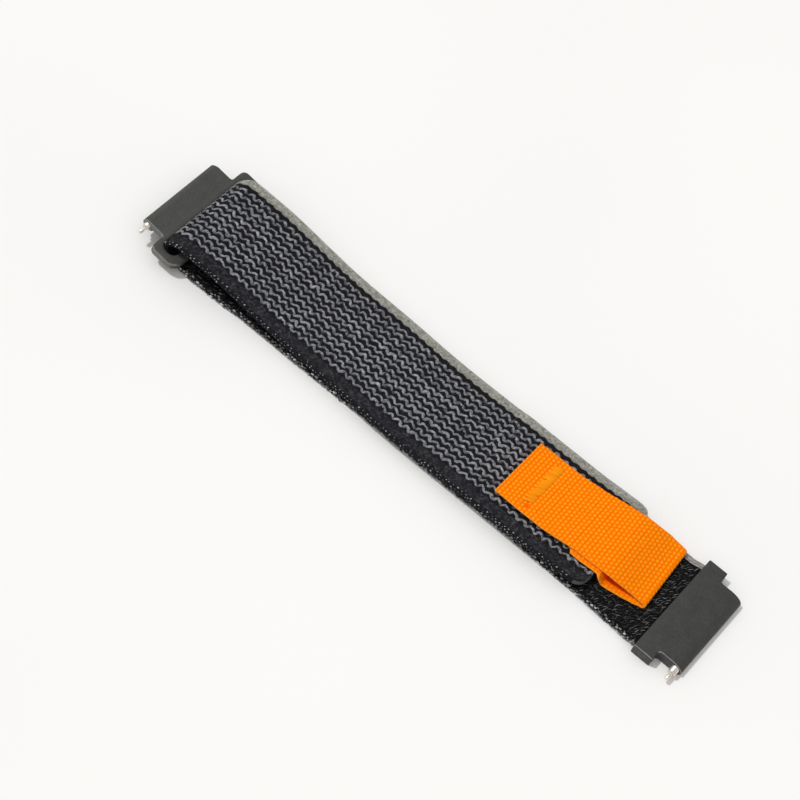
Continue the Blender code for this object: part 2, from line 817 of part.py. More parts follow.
def make_coil_spring(name, steel, axis, bar_shift):
    """The coil spring between the two tips' heads, one unbroken length of wire."""
    radius = BAR_DIA / 2 - BAR_WALL - COIL_PLAY - WIRE_DIA / 2
    room = BAR_LENGTH / 2 - BAR_LIP - TIP_PLAY
    low = -room + HEAD_LENGTH + COIL_PLAY + WIRE_DIA / 2
    high = room - RELEASE_HEAD_LENGTH - COIL_PLAY - WIRE_DIA / 2
    steps = COIL_TURNS * COIL_STEPS
    rise = (high - low) / (2 * math.pi * COIL_TURNS)
    shape = bmesh.new()
    rings = []
    for step in range(steps + 1):
        angle = 2 * math.pi * step / COIL_STEPS
        out = Vector((math.cos(angle), 0, math.sin(angle)))
        along = Vector((-radius * math.sin(angle), rise, radius * math.cos(angle))).normalized()
        aside = along.cross(out)
        middle = out * radius + Vector((0, low + (high - low) * step / steps, 0))
        ring = []
        for side in range(WIRE_SIDES):
            turn = 2 * math.pi * side / WIRE_SIDES
            spot = middle + (out * math.cos(turn) + aside * math.sin(turn)) * (WIRE_DIA / 2)
            ring.append(shape.verts.new(spot))
        rings.append(ring)
    join_rings(shape, rings, False)
    return place(f"{name}_bar_spring", shape, steel, axis, (0, bar_shift, 0))


def make_spring_bar(name, finishes, axis, bar_shift, knob_deg):
    """One quick-release spring bar: tube, plain tip, release tip, knob and spring."""
    steel = finishes["steel"]
    tube = place(f"{name}_bar_tube", turned(tube_profile(), ROUND_STEPS, True), steel, axis)
    tube.location = (0, bar_shift, 0)
    window = cutter(
        f"{name}_tube_window",
        release_window(bar_shift, BAR_DIA, 0, knob_deg),
        axis,
    )
    combine(tube, window, "DIFFERENCE")
    plain = turned(tip_profile(HEAD_LENGTH, -1), SMALL_STEPS)
    place(f"{name}_plain_tip", plain, finishes["tip_steel"], axis, (0, bar_shift, 0))
    make_release_tip(name, finishes["tip_steel"], axis, bar_shift, knob_deg)
    make_knob(name, finishes["knob_steel"], axis, bar_shift, knob_deg)
    make_coil_spring(name, finishes["spring_steel"], axis, bar_shift)


def make_finishes():
    """Colours, roughness and metallic values, one material for each kind of piece."""
    return {
        "base_web": finish("base webbing", (0.012, 0.012, 0.014), 0.85),
        "bend_web": finish("bend webbing", (0.03, 0.03, 0.034), 0.85),
        "flap_web": finish("flap webbing", (0.10, 0.10, 0.11), 0.85),
        "hook": finish("hook tape", (0.01, 0.01, 0.011), 0.7),
        "orange_tab": finish("orange webbing", (0.95, 0.17, 0.005), 0.6),
        "orange_end": finish("orange sewn end", (0.95, 0.17, 0.005), 0.6),
        "thread": finish("orange thread", (1.0, 0.27, 0.01), 0.5),
        "buckle": finish("matte black buckle", (0.075, 0.075, 0.07), 0.55, 0.3),
        "connector": finish("matte black connector", (0.06, 0.06, 0.057), 0.55, 0.3),
        "pin": finish("grip pin steel", (0.5, 0.5, 0.5), 0.35, 1.0),
        "steel": finish("tube steel", (0.62, 0.61, 0.59), 0.25, 1.0),
        "tip_steel": finish("tip steel", (0.66, 0.65, 0.63), 0.2, 1.0),
        "knob_steel": finish("knob steel", (0.6, 0.59, 0.57), 0.25, 1.0),
        "spring_steel": finish("spring steel", (0.5, 0.49, 0.47), 0.3, 1.0),
    }


def make_soft_parts(finishes):
    """Webbing, hook patch, pull tab and its stitching."""
    make_strap_base(finishes["base_web"])
    make_strap_bend(finishes["bend_web"])
    hinge_spot = (FLAP_START_X, 0, flap_floor(FLAP_START_X) + WEB_THICK / 2)
    flap_hinge = pivot("flap_hinge", hinge_spot)
    make_strap_flap(finishes["flap_web"], flap_hinge, hinge_spot)
    make_hook_patch(finishes["hook"], flap_hinge, hinge_spot)

    seam_x = TAB_BACK_X + TAB_SEWN * math.cos(TAB_YAW)
    seam_y = TAB_SIDE_OFFSET + TAB_SEWN * math.sin(TAB_YAW)
    seam_spot = (seam_x, seam_y, TAB_TOP)
    from_hinge = Vector(seam_spot) - Vector(hinge_spot)
    tab_hinge = pivot("tab_hinge", from_hinge, flap_hinge, (0, 0, TAB_YAW))
    make_pull_tab(finishes["orange_tab"], tab_hinge, seam_spot)
    make_tab_sewn_end(finishes["orange_end"], tab_hinge, seam_spot)
    make_bar_tack(finishes["thread"], tab_hinge, seam_spot)


def make_metal_parts(finishes):
    """Ring buckle, fixed connector, grip pins and both spring bars."""
    buckle_axis = pivot("buckle_axis", (PIVOT_X, 0, PIVOT_Z), None, (0, -TILT, 0))
    make_buckle(finishes["buckle"], buckle_axis)
    buckle_bar = pivot("buckle_bar_axis", (BUCKLE_BARREL_X, 0, BUCKLE_BARREL_Z), buckle_axis)
    make_spring_bar("buckle", finishes, buckle_bar, BUCKLE_BAR_SHIFT, BUCKLE_KNOB_DEG)

    make_fixed_connector(finishes["connector"])
    make_grip_pins(finishes["pin"])
    fixed_bar = pivot("fixed_bar_axis", (FIXED_BARREL_X, 0, FIXED_BARREL_Z))
    make_spring_bar("fixed", finishes, fixed_bar, FIXED_BAR_SHIFT, FIXED_KNOB_DEG)


def main():
    """Build every piece of the strap."""
    clear_scene()
    finishes = make_finishes()
    make_soft_parts(finishes)
    make_metal_parts(finishes)
    bpy.context.view_layer.update()


main()
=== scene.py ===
"""Looks of a hook and loop watch strap, folded flat on a pale table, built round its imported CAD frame."""

import json
import logging
import math
from dataclasses import dataclass, field
from enum import Enum
from typing import Callable, Optional, Protocol, Sequence

import bpy
import numpy as np
from mathutils import Matrix, Vector

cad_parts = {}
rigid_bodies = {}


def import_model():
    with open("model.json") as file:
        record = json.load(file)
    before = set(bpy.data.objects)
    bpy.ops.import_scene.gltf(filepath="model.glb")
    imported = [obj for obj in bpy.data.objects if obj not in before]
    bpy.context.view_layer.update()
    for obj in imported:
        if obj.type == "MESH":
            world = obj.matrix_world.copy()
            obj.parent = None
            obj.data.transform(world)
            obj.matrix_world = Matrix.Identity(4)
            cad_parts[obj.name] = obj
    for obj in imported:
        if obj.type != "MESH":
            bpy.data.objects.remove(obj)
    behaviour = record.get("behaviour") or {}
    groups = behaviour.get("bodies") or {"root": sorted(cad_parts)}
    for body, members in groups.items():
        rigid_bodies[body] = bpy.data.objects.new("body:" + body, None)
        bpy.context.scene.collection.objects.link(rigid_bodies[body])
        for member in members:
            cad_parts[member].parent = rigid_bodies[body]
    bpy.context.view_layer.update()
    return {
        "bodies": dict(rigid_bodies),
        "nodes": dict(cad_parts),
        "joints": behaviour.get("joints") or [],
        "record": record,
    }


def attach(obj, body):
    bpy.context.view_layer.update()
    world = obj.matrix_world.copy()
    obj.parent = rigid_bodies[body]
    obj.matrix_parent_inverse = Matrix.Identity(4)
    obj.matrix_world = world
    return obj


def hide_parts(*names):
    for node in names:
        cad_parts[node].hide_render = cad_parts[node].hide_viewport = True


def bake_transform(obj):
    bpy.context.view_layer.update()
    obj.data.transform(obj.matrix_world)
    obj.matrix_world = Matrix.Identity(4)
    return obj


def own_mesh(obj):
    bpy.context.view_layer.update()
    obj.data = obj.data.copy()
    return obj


LOG = logging.getLogger("watch_strap")
SEED = 11
# Most of a noise's values lie between these two, and its blobs take this share of a cell.
NOISE_LOW, NOISE_HIGH = 0.3, 0.7
BLOB_SHARE = 0.6

Piece = bpy.types.Object
Socket = bpy.types.NodeSocket
Points = np.ndarray
Placer = Callable[[np.ndarray, np.ndarray], np.ndarray]


class Slot(Enum):
    """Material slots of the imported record."""

    BASE = "base_webbing"
    FLAP = "flap_webbing"
    HOOKS = "hook_tape"
    TAB = "orange_webbing"
    THREAD = "orange_thread"
    BUCKLE = "buckle_coating"
    CONNECTOR = "connector_coating"
    BAR = "bar_steel"
    SPRING = "spring_steel"


class Ride(Enum):
    """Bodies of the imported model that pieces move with."""

    STRAP = "strap"
    FLAP = "flap"
    TAB = "tab"
    BUCKLE = "buckle"
    BUCKLE_PLAIN = "buckle_plain_plunger"
    BUCKLE_RELEASE = "buckle_release_plunger"
    FIXED_PLAIN = "fixed_plain_plunger"
    FIXED_RELEASE = "fixed_release_plunger"


class Side(Enum):
    """The two faces of the webbing: the one that shows on the flap, and the one inside the fold."""

    OUTER = 1
    INNER = -1


def shade(red: float, green: float, blue: float) -> tuple[float, float, float, float]:
    """Turn a screen colour into the linear colour that a shader takes.

    Args:
        red: Red part, 0 to 255.
        green: Green part, 0 to 255.
        blue: Blue part, 0 to 255.

    Returns:
        Linear red, green, blue and an opaque alpha.
    """
    parts = [value / 255 for value in (red, green, blue)]
    linear = [p / 12.92 if p <= 0.04045 else ((p + 0.055) / 1.055) ** 2.4 for p in parts]
    return (linear[0], linear[1], linear[2], 1.0)


def tones(*stops: tuple[float, float, float, float]) -> tuple:
    """Stops of a colour ramp, from rows of place, red, green and blue."""
    return tuple((place, shade(*colour)) for place, *colour in stops)


def ease(share: np.ndarray) -> np.ndarray:
    """Smooth step from 0 to 1 with level ends."""
    return (1 - np.cos(np.pi * np.clip(share, 0, 1))) / 2


def ripple(place: np.ndarray, pitch: float) -> np.ndarray:
    """Even waves from 0 to 1, one for each pitch."""
    return 0.5 + 0.5 * np.cos(2 * np.pi * place / pitch)


def listed(x: np.ndarray, table: tuple) -> np.ndarray:
    """Values between the rows of a table of places and values."""
    return np.interp(x, *np.array(table).T)


def lengths(line: Points) -> np.ndarray:
    """Length along a line at each of its points."""
    return np.concatenate([[0], np.cumsum(np.linalg.norm(np.diff(line, axis=0), axis=1))])


def headings(line: Points) -> Points:
    """Direction of a line at each of its points, 1 long."""
    heading = np.gradient(line, axis=0)
    return heading / np.linalg.norm(heading, axis=1)[:, None]


def only(piece: Piece) -> None:
    """Make one object the whole selection and the active object.

    Args:
        piece: Object to select.
    """
    bpy.ops.object.select_all(action="DESELECT")
    piece.select_set(True)
    bpy.context.view_layer.objects.active = piece


def named(piece: Piece, name: str) -> Piece:
    """Name a piece and its mesh.

    Args:
        piece: Piece to name.
        name: Its new name.

    Returns:
        The same piece.
    """
    piece.name = name
    piece.data.name = name
    return piece


def corners(piece: Piece) -> Points:
    """Read the vertices of a piece.

    Args:
        piece: Piece to read.

    Returns:
        Its vertices as rows of x, y and z.
    """
    found = np.zeros(len(piece.data.vertices) * 3)
    piece.data.vertices.foreach_get("co", found)
    return found.reshape(-1, 3)


def put(piece: Piece, points: Points) -> None:
    """Move the vertices of a piece to new places."""
    piece.data.vertices.foreach_set("co", np.ascontiguousarray(points, float).ravel())
    piece.data.update()


def formed(name: str, columns: int, rows: int, place: Placer) -> Piece:
    """Add a flat grid and bend it into a form.

    Args:
        name: Name of the new piece.
        columns: Faces along the grid's first direction.
        rows: Faces along its second direction.
        place: Gives the places for two arrays of shares, 0 to 1, along the two directions.

    Returns:
        The new piece, with its place in its mesh.
    """
    bpy.ops.object.select_all(action="DESELECT")
    bpy.ops.mesh.primitive_grid_add(x_subdivisions=columns, y_subdivisions=rows, size=2.0)
    piece = named(bpy.context.object, name)
    flat = corners(piece)
    put(piece, place((flat[:, 0] + 1) / 2, (flat[:, 1] + 1) / 2))
    return piece


def edited(piece: Piece, *steps: Callable[[], object]) -> Piece:
    """Run operators on all of a piece in edit mode.

    Args:
        piece: Piece to edit.
        *steps: Operators, each called with nothing, in order.

    Returns:
        The same piece.
    """
    only(piece)
    bpy.ops.object.mode_set(mode="EDIT")
    bpy.ops.mesh.select_all(action="SELECT")
    for step in steps:
        step()
    bpy.ops.object.mode_set(mode="OBJECT")
    return piece


def sealed(piece: Piece, reach: float = 2e-6) -> Piece:
    """Merge corners that meet, and turn all faces outwards.

    Args:
        piece: Piece to close.
        reach: Distance within which corners merge.

    Returns:
        The same piece.
    """
    return edited(
        piece,
        lambda: bpy.ops.mesh.remove_doubles(threshold=reach),
        lambda: bpy.ops.mesh.dissolve_degenerate(threshold=reach),
        lambda: bpy.ops.mesh.normals_make_consistent(inside=False),
    )


def turned_over(piece: Piece) -> Piece:
    """Flip the faces of a piece, so that they look the other way."""
    return edited(piece, bpy.ops.mesh.flip_normals)


def smoothed(piece: Piece, angle_deg: float) -> Piece:
    """Shade a piece smooth, apart from edges sharper than an angle.

    Args:
        piece: Piece to shade.
        angle_deg: Largest angle that still shades smooth.

    Returns:
        The same piece.
    """
    only(piece)
    bpy.ops.object.shade_smooth_by_angle(angle=math.radians(angle_deg))
    return piece


def joined(name: str, pieces: Sequence[Piece]) -> Piece:
    """Join pieces into one object.

    Args:
        name: Name of the result.
        pieces: Pieces to join, two or more.

    Returns:
        The joined piece.
    """
    only(pieces[0])
    for piece in pieces[1:]:
        piece.select_set(True)
    bpy.ops.object.join()
    return named(bpy.context.object, name)


def note(piece: Piece, name: str, values: np.ndarray) -> None:
    """Write one number for each vertex into a named attribute."""
    layer = piece.data.attributes.get(name) or piece.data.attributes.new(name, "FLOAT", "POINT")
    layer.data.foreach_set("value", values.astype(np.float32))


def scattered(name: str, pattern: Piece, places: Points, turns: np.ndarray, bright: np.ndarray) -> Piece:
    """Copy a small pattern piece to many places in one mesh, and remove the pattern.

    Args:
        name: Name of the result.
        pattern: Piece to copy, made around the origin.
        places: Place of each copy, one row each.
        turns: A 3 by 3 matrix for each copy, which turns and scales it.
        bright: Brightness of each copy, 0 to 1, kept in the attribute tone.

    Returns:
        The piece that holds all copies.
    """
    shape = corners(pattern)
    count = len(shape)
    faces = [tuple(face.vertices) for face in pattern.data.polygons]
    points = np.einsum("nij,vj->nvi", turns, shape) + places[:, None, :]
    copies = range(len(places))
    all_faces = [tuple(index + count * copy for index in face) for copy in copies for face in faces]
    mesh = bpy.data.meshes.new(name)
    mesh.from_pydata(points.reshape(-1, 3).tolist(), [], all_faces)
    mesh.update()
    piece = bpy.data.objects.new(name, mesh)
    bpy.context.collection.objects.link(piece)
    note(piece, "tone", np.repeat(bright, count))
    bpy.data.objects.remove(pattern)
    return piece


def turned_flat(angles: np.ndarray, sizes: Points) -> np.ndarray:
    """Matrices that scale a pattern and turn it about its upright axis.

    Args:
        angles: Turn of each copy, in radians.
        sizes: Scale of each copy along its own three axes, one row each.

    Returns:
        One 3 by 3 matrix for each copy.
    """
    made = np.zeros((len(angles), 3, 3))
    made[:, 0, 0] = np.cos(angles) * sizes[:, 0]
    made[:, 0, 1] = -np.sin(angles) * sizes[:, 1]
    made[:, 1, 0] = np.sin(angles) * sizes[:, 0]
    made[:, 1, 1] = np.cos(angles) * sizes[:, 1]
    made[:, 2, 2] = sizes[:, 2]
    return made


def soft_noise(shape: tuple[int, int], passes: int, rng: np.random.Generator) -> np.ndarray:
    """Smooth random heights on a grid, with a spread of about 1.

    Args:
        shape: Number of rows and columns.
        passes: How often the heights are averaged with their neighbours.
        rng: Source of the random numbers.

    Returns:
        The heights.
    """
    heights = rng.normal(size=shape)
    for _ in range(passes):
        for axis in (0, 1):
            heights = (heights + np.roll(heights, 1, axis) + np.roll(heights, -1, axis)) / 3
    return heights / heights.std()


class Shader:
    """Node graph of one material around a Principled shader."""

    def __init__(self, name: str) -> None:
        """Start a material.

        Args:
            name: Its name.
        """
        self.material = bpy.data.materials.new(name)
        self.material.use_nodes = True
        self.tree = self.material.node_tree
        self.surface = self.tree.nodes["Principled BSDF"]

    def plug(self, socket: Socket, value: object) -> None:
        """Link a socket to another one, or set it to a plain value.

        Args:
            socket: Socket to set.
            value: Another socket or a plain value.
        """
        if isinstance(value, bpy.types.NodeSocket):
            self.tree.links.new(value, socket)
        else:
            socket.default_value = value

    def node(self, kind: str, **inputs: object) -> bpy.types.Node:
        """Add a node and set or link its inputs.

        Args:
            kind: Node type, without the words ShaderNode.
            **inputs: Values or sockets, by input name.

        Returns:
            The new node.
        """
        made = self.tree.nodes.new("ShaderNode" + kind)
        for name, value in inputs.items():
            self.plug(made.inputs[name], value)
        return made

    def spot(self, stretch: tuple[float, float, float] = (1, 1, 1), turn_deg: float = 0.0) -> Socket:
        """Object coordinates, turned about the upright axis and stretched by a Mapping node.

        Args:
            stretch: Scale along each axis.
            turn_deg: Turn about the upright axis.

        Returns:
            Socket of the place.
        """
        turn = (0, 0, math.radians(turn_deg))
        place = self.node("TexCoord").outputs["Object"]
        return self.node("Mapping", Vector=place, Scale=stretch, Rotation=turn).outputs["Vector"]

    def noise(self, grain: float, where: Optional[Socket] = None, detail: float = 2.0) -> Socket:
        """Noise whose blobs are about one grain across, in metres."""
        vector = where or self.spot()
        return self.node("TexNoise", Vector=vector, Scale=BLOB_SHARE / grain, Detail=detail).outputs["Fac"]

    def tone(self, name: str) -> Socket:
        """The piece's own attribute, one number for each vertex.

        Args:
            name: Name of the attribute.

        Returns:
            Socket of the number.
        """
        made = self.node("Attribute")
        made.attribute_name = name
        return made.outputs["Fac"]

    def sums(self, operation: str, first: object, second: object) -> Socket:
        """One step of arithmetic, with its result kept from 0 to 1.

        Args:
            operation: Name of the Math node's operation.
            first: Number or socket.
            second: Number or socket.

        Returns:
            Socket of the result.
        """
        made = self.node("Math")
        made.operation = operation
        made.use_clamp = True
        for socket, value in zip(made.inputs, (first, second)):
            self.plug(socket, value)
        return made.outputs[0]

    def mixed(self, *parts: tuple[Socket, float]) -> Socket:
        """Sum of several sockets, each times its own share.

        Args:
            *parts: Pairs of socket and share.

        Returns:
            Socket of the sum.
        """
        total, *others = [self.sums("MULTIPLY", socket, share) for socket, share in parts]
        for other in others:
            total = self.sums("ADD", total, other)
        return total

    def varied(self, noise: Socket, middle: float, spread: float = 0.2) -> Socket:
        """A number that varies by a spread around its middle."""
        return self.sums("ADD", self.sums("MULTIPLY", noise, spread), middle - spread / 2)

    def ramp(self, factor: Socket, stops: Sequence[tuple[float, tuple]]) -> Socket:
        """Colours along a number.

        Args:
            factor: Socket of the number.
            stops: Pairs of place and linear colour, lowest first.

        Returns:
            Socket of the colour.
        """
        made = self.node("ValToRGB", Fac=factor)
        band = made.color_ramp
        while len(band.elements) < len(stops):
            band.elements.new(0.5)
        for element, (place, colour) in zip(band.elements, stops):
            element.position = place
            element.color = colour
        return made.outputs["Color"]

    def bump(self, height: Socket, depth: float) -> Socket:
        """Normals bent by a height, as deep as given in metres."""
        return self.node("Bump", Height=height, Distance=depth, Strength=1.0).outputs["Normal"]

    def finish(
        self, colour: object, roughness: object, normal: Optional[Socket] = None, **uniform: float
    ) -> bpy.types.Material:
        """Set the Principled shader and return the material.

        Args:
            colour: Colour or its socket.
            roughness: Roughness or its socket.
            normal: Socket of bent normals.
            **uniform: Other inputs, the same all over, by name with spaces as underscores.

        Returns:
            The finished material.
        """
        self.plug(self.surface.inputs["Base Color"], colour)
        self.plug(self.surface.inputs["Roughness"], roughness)
        if normal is not None:
            self.plug(self.surface.inputs["Normal"], normal)
        for name, value in uniform.items():
            self.surface.inputs[name.replace("_", " ")].default_value = value
        return self.material


class Finish(Protocol):
    """What every finish has: a name, and a way to build its material."""

    name: str

    def material(self) -> bpy.types.Material:
        """Build the finish."""


@dataclass(frozen=True)
class ReliefFinish:
    """Woven cloth whose colour follows its own relief: painted shade between the yarns and a painted
    highlight on their crowns.
    """

    name: str
    stops: tuple
    follows: str = "relief"
    grain: float = 0.0001
    patch_grains: float = 3.0
    patch_detail: float = 3.0
    patch_middle: float = 0.45
    mottle: float = 0.35
    bump_share: float = 0.4
    roughness: float = 0.6
    gloss: float = 0.1

    def material(self) -> bpy.types.Material:
        """Build the finish.

        Returns:
            The finished material.
        """
        shader = Shader(self.name)
        grains = shader.noise(self.grain)
        patches = shader.noise(self.grain * self.patch_grains, detail=self.patch_detail)
        lift = shader.sums("MULTIPLY", shader.sums("SUBTRACT", patches, self.patch_middle), self.mottle)
        colour = shader.ramp(shader.sums("ADD", shader.tone(self.follows), lift), self.stops)
        normal = shader.bump(grains, self.grain * self.bump_share)
        return shader.finish(colour, self.roughness, normal, Specular_IOR_Level=self.gloss)


@dataclass(frozen=True)
class ThreadFinish(ReliefFinish):
    """Textile yarn whose brightness follows the tone of each stitch or loop, with fine fibre streaks."""

    follows: str = "tone"
    grain: float = 0.00008
    patch_grains: float = 7.0
    patch_detail: float = 2.0
    patch_middle: float = 0.5
    mottle: float = 0.5
    bump_share: float = 0.5
    roughness: float = 0.7


@dataclass(frozen=True)
class ClothFinish:
    """Plain cloth ground, mottled by noise at two sizes."""

    name: str
    stops: tuple
    grain: float = 0.0002
    coarse_grains: float = 4.0
    depth: float = 0.00006
    roughness: float = 0.85
    gloss: float = 0.05

    def material(self) -> bpy.types.Material:
        """Build the finish.

        Returns:
            The finished material.
        """
        shader = Shader(self.name)
        coarse = shader.noise(self.grain * self.coarse_grains, detail=3)
        fine = shader.noise(self.grain)
        colour = shader.ramp(shader.mixed((coarse, 0.5), (fine, 0.5)), self.stops)
        normal = shader.bump(fine, self.depth)
        return shader.finish(colour, self.roughness, normal, Specular_IOR_Level=self.gloss)


@dataclass(frozen=True)
class CoatingFinish:
    """Thin matte coating on metal: faint clouds and scuffs under a fine powdery grain."""

    name: str
    stops: tuple
    # Lift of the whole ramp; the bright edges use it for their wear and painted highlight.
    wear: float = 0.0
    streak: tuple = (1, 6, 6)
    streak_turn_deg: float = 20.0
    cloud: float = 0.0016
    scuff: float = 0.0006
    grain: float = 0.00028
    shares: tuple = (0.3, 0.25, 0.45)
    depth: float = 0.000012
    roughness: float = 0.6
    gloss: float = 0.18

    def material(self) -> bpy.types.Material:
        """Build the finish.

        Returns:
            The finished material.
        """
        shader = Shader(self.name)
        clouds = shader.noise(self.cloud, detail=4)
        specks = shader.noise(self.grain, detail=3)
        scuffs = shader.noise(self.scuff, shader.spot(self.streak, self.streak_turn_deg))
        mixed = shader.mixed(*zip((clouds, scuffs, specks), self.shares))
        colour = shader.ramp(shader.sums("ADD", mixed, self.wear), self.stops)
        rough = shader.varied(clouds, self.roughness)
        return shader.finish(colour, rough, shader.bump(specks, self.depth), Specular_IOR_Level=self.gloss)


@dataclass(frozen=True)
class SteelFinish:
    """Bare steel with fine turning marks across its axis."""

    name: str
    stops: tuple
    roughness: float = 0.3
    metallic: float = 1.0
    mark: float = 0.0004
    mark_stretch: tuple = (0.2, 8, 0.2)
    mark_depth: float = 0.000008
    stain: float = 0.0009

    def material(self) -> bpy.types.Material:
        """Build the finish.

        Returns:
            The finished material.
        """
        shader = Shader(self.name)
        marks = shader.noise(self.mark, shader.spot(self.mark_stretch))
        stains = shader.noise(self.stain, detail=3)
        colour = shader.ramp(shader.mixed((marks, 0.5), (stains, 0.5)), self.stops)
        rough = shader.varied(marks, self.roughness)
        return shader.finish(colour, rough, shader.bump(marks, self.mark_depth), Metallic=self.metallic)


@dataclass(frozen=True)
class TableFinish:
    """Pale table top with a faint unevenness."""

    name: str
    stops: tuple
    cloud: float = 0.08
    roughness: float = 0.8

    def material(self) -> bpy.types.Material:
        """Build the finish.

        Returns:
            The finished material.
        """
        shader = Shader(self.name)
        colour = shader.ramp(shader.noise(self.cloud, detail=1), self.stops)
        return shader.finish(colour, self.roughness, Specular_IOR_Level=0.0)


LIGHT_YARN = ThreadFinish("light_grey_yarn", tones((0, 50, 50, 55), (1, 176, 178, 182)), gloss=0.12)
DARK_YARN = ThreadFinish("dark_yarn", tones((0, 14, 13, 18), (1, 62, 60, 68)), gloss=0.05)
EDGE_YARN = ThreadFinish("edge_stitch_yarn", tones((0, 20, 19, 22), (1, 224, 224, 226)), gloss=0.2)
# The pale end of the pile's tones is partly lighter fibres and partly painted glints on shiny fibres.
PILE_YARN = ThreadFinish(
    "black_pile_yarn", tones((0, 14, 14, 15), (1, 112, 112, 110)), roughness=0.45, gloss=0.25
)
HOOK_YARN = ThreadFinish(
    "black_hook_yarn", tones((0, 14, 14, 15), (1, 50, 50, 52)), roughness=0.35, gloss=0.4
)
TACK_THREAD = ThreadFinish(
    "orange_tack_thread", tones((0, 242, 112, 0), (1, 255, 176, 18)), roughness=0.6, gloss=0.06
)
DARK_GROUND = ReliefFinish(
    "dark_ground_cloth", tones((0, 12, 11, 14), (0.45, 32, 31, 35), (0.8, 78, 78, 75)), gloss=0.05
)
TWILL_CLOTH = ReliefFinish(
    "dark_twill_cloth", tones((0, 22, 21, 24), (0.5, 40, 39, 43), (1, 68, 67, 71)), grain=0.00006, gloss=0.05
)
PLUSH_CLOTH = ReliefFinish(
    "grey_green_plush",
    tones((0, 112, 112, 105), (0.5, 144, 143, 135), (1, 178, 177, 169)),
    grain=0.00006,
    mottle=0.25,
    roughness=0.9,
    gloss=0.05,
)
SELVEDGE_CLOTH = ReliefFinish(
    "pale_selvedge_cloth", tones((0, 92, 90, 88), (0.5, 140, 136, 131), (1, 178, 174, 168)), roughness=0.8
)
# The low stops are painted shade in the weave's hollows and deep in the fold, the high stops a painted
# highlight on the floats; the top stop is the paler rim.
ORANGE_CLOTH = ReliefFinish(
    "orange_woven_cloth",
    tones(
        (0, 250, 66, 0),
        (0.12, 250, 86, 0),
        (0.3, 252, 114, 0),
        (0.6, 255, 135, 2),
        (0.86, 255, 168, 28),
        (1, 255, 146, 88),
    ),
    mottle=0.45,
    gloss=0.03,
)
PILE_GROUND = ClothFinish("pile_ground_cloth", tones((NOISE_LOW, 9, 9, 11), (NOISE_HIGH, 26, 26, 28)))
BUCKLE_COAT = CoatingFinish("buckle_coating", tones((0.35, 66, 66, 64), (0.7, 82, 82, 79)))
# Near edges of the buckle: partly wear, partly a painted highlight.
BUCKLE_EDGE_WEAR_AND_HIGHLIGHT = CoatingFinish("buckle_edge_wear_and_highlight", tones((0.35, 94, 94, 91), (0.7, 134, 133, 129)), wear=0.05)
# Near end face of the buckle: painted reflected light under streaky scuffs.
BUCKLE_END_REFLECTION = CoatingFinish(
    "buckle_end_painted_reflection", tones((0.35, 96, 95, 92), (0.7, 134, 132, 128)), streak=(8, 1, 1)
)
CONNECTOR_COAT = CoatingFinish("connector_coating", tones((0.35, 56, 56, 55), (0.7, 73, 73, 71)))
# Near edges of the connector: partly wear, partly a painted highlight.
CONNECTOR_EDGE_WEAR_AND_HIGHLIGHT = CoatingFinish(
    "connector_edge_wear_and_highlight", tones((0.35, 104, 104, 102), (0.7, 160, 160, 157)), wear=0.05
)
# Near end face of the connector: a little lighter with painted reflected light, under streaky scuffs.
CONNECTOR_END_REFLECTION = CoatingFinish(
    "connector_end_painted_reflection", tones((0.35, 58, 56, 58), (0.7, 90, 87, 90)), streak=(1, 1, 10)
)
BAR_STEEL = SteelFinish(
    "bar_steel", tones((NOISE_LOW, 206, 196, 184), (NOISE_HIGH, 252, 246, 236)), metallic=0.75
)
SPRING_STEEL = SteelFinish(
    "spring_steel", tones((NOISE_LOW, 140, 138, 134), (NOISE_HIGH, 190, 188, 182)), roughness=0.4
)
PIN_STEEL = SteelFinish(
    "pin_steel", tones((NOISE_LOW, 120, 120, 120), (NOISE_HIGH, 180, 180, 178)), roughness=0.4
)
TABLE = TableFinish("pale_table", tones((NOISE_LOW, 248, 247, 245), (NOISE_HIGH, 251, 250, 248)))


class Wardrobe:
    """Keeps one material for each finish."""

    made: dict[str, bpy.types.Material] = {}

    @classmethod
    def wear(cls, piece: Piece, *finishes: Finish) -> Piece:
        """Give a piece its materials, in order.

        Args:
            piece: Piece to dress.
            *finishes: Finishes, one for each material slot of the piece.

        Returns:
            The same piece.
        """
        piece.data.materials.clear()
        for finish in finishes:
            if finish.name not in cls.made:
                cls.made[finish.name] = finish.material()
            piece.data.materials.append(cls.made[finish.name])
        return piece


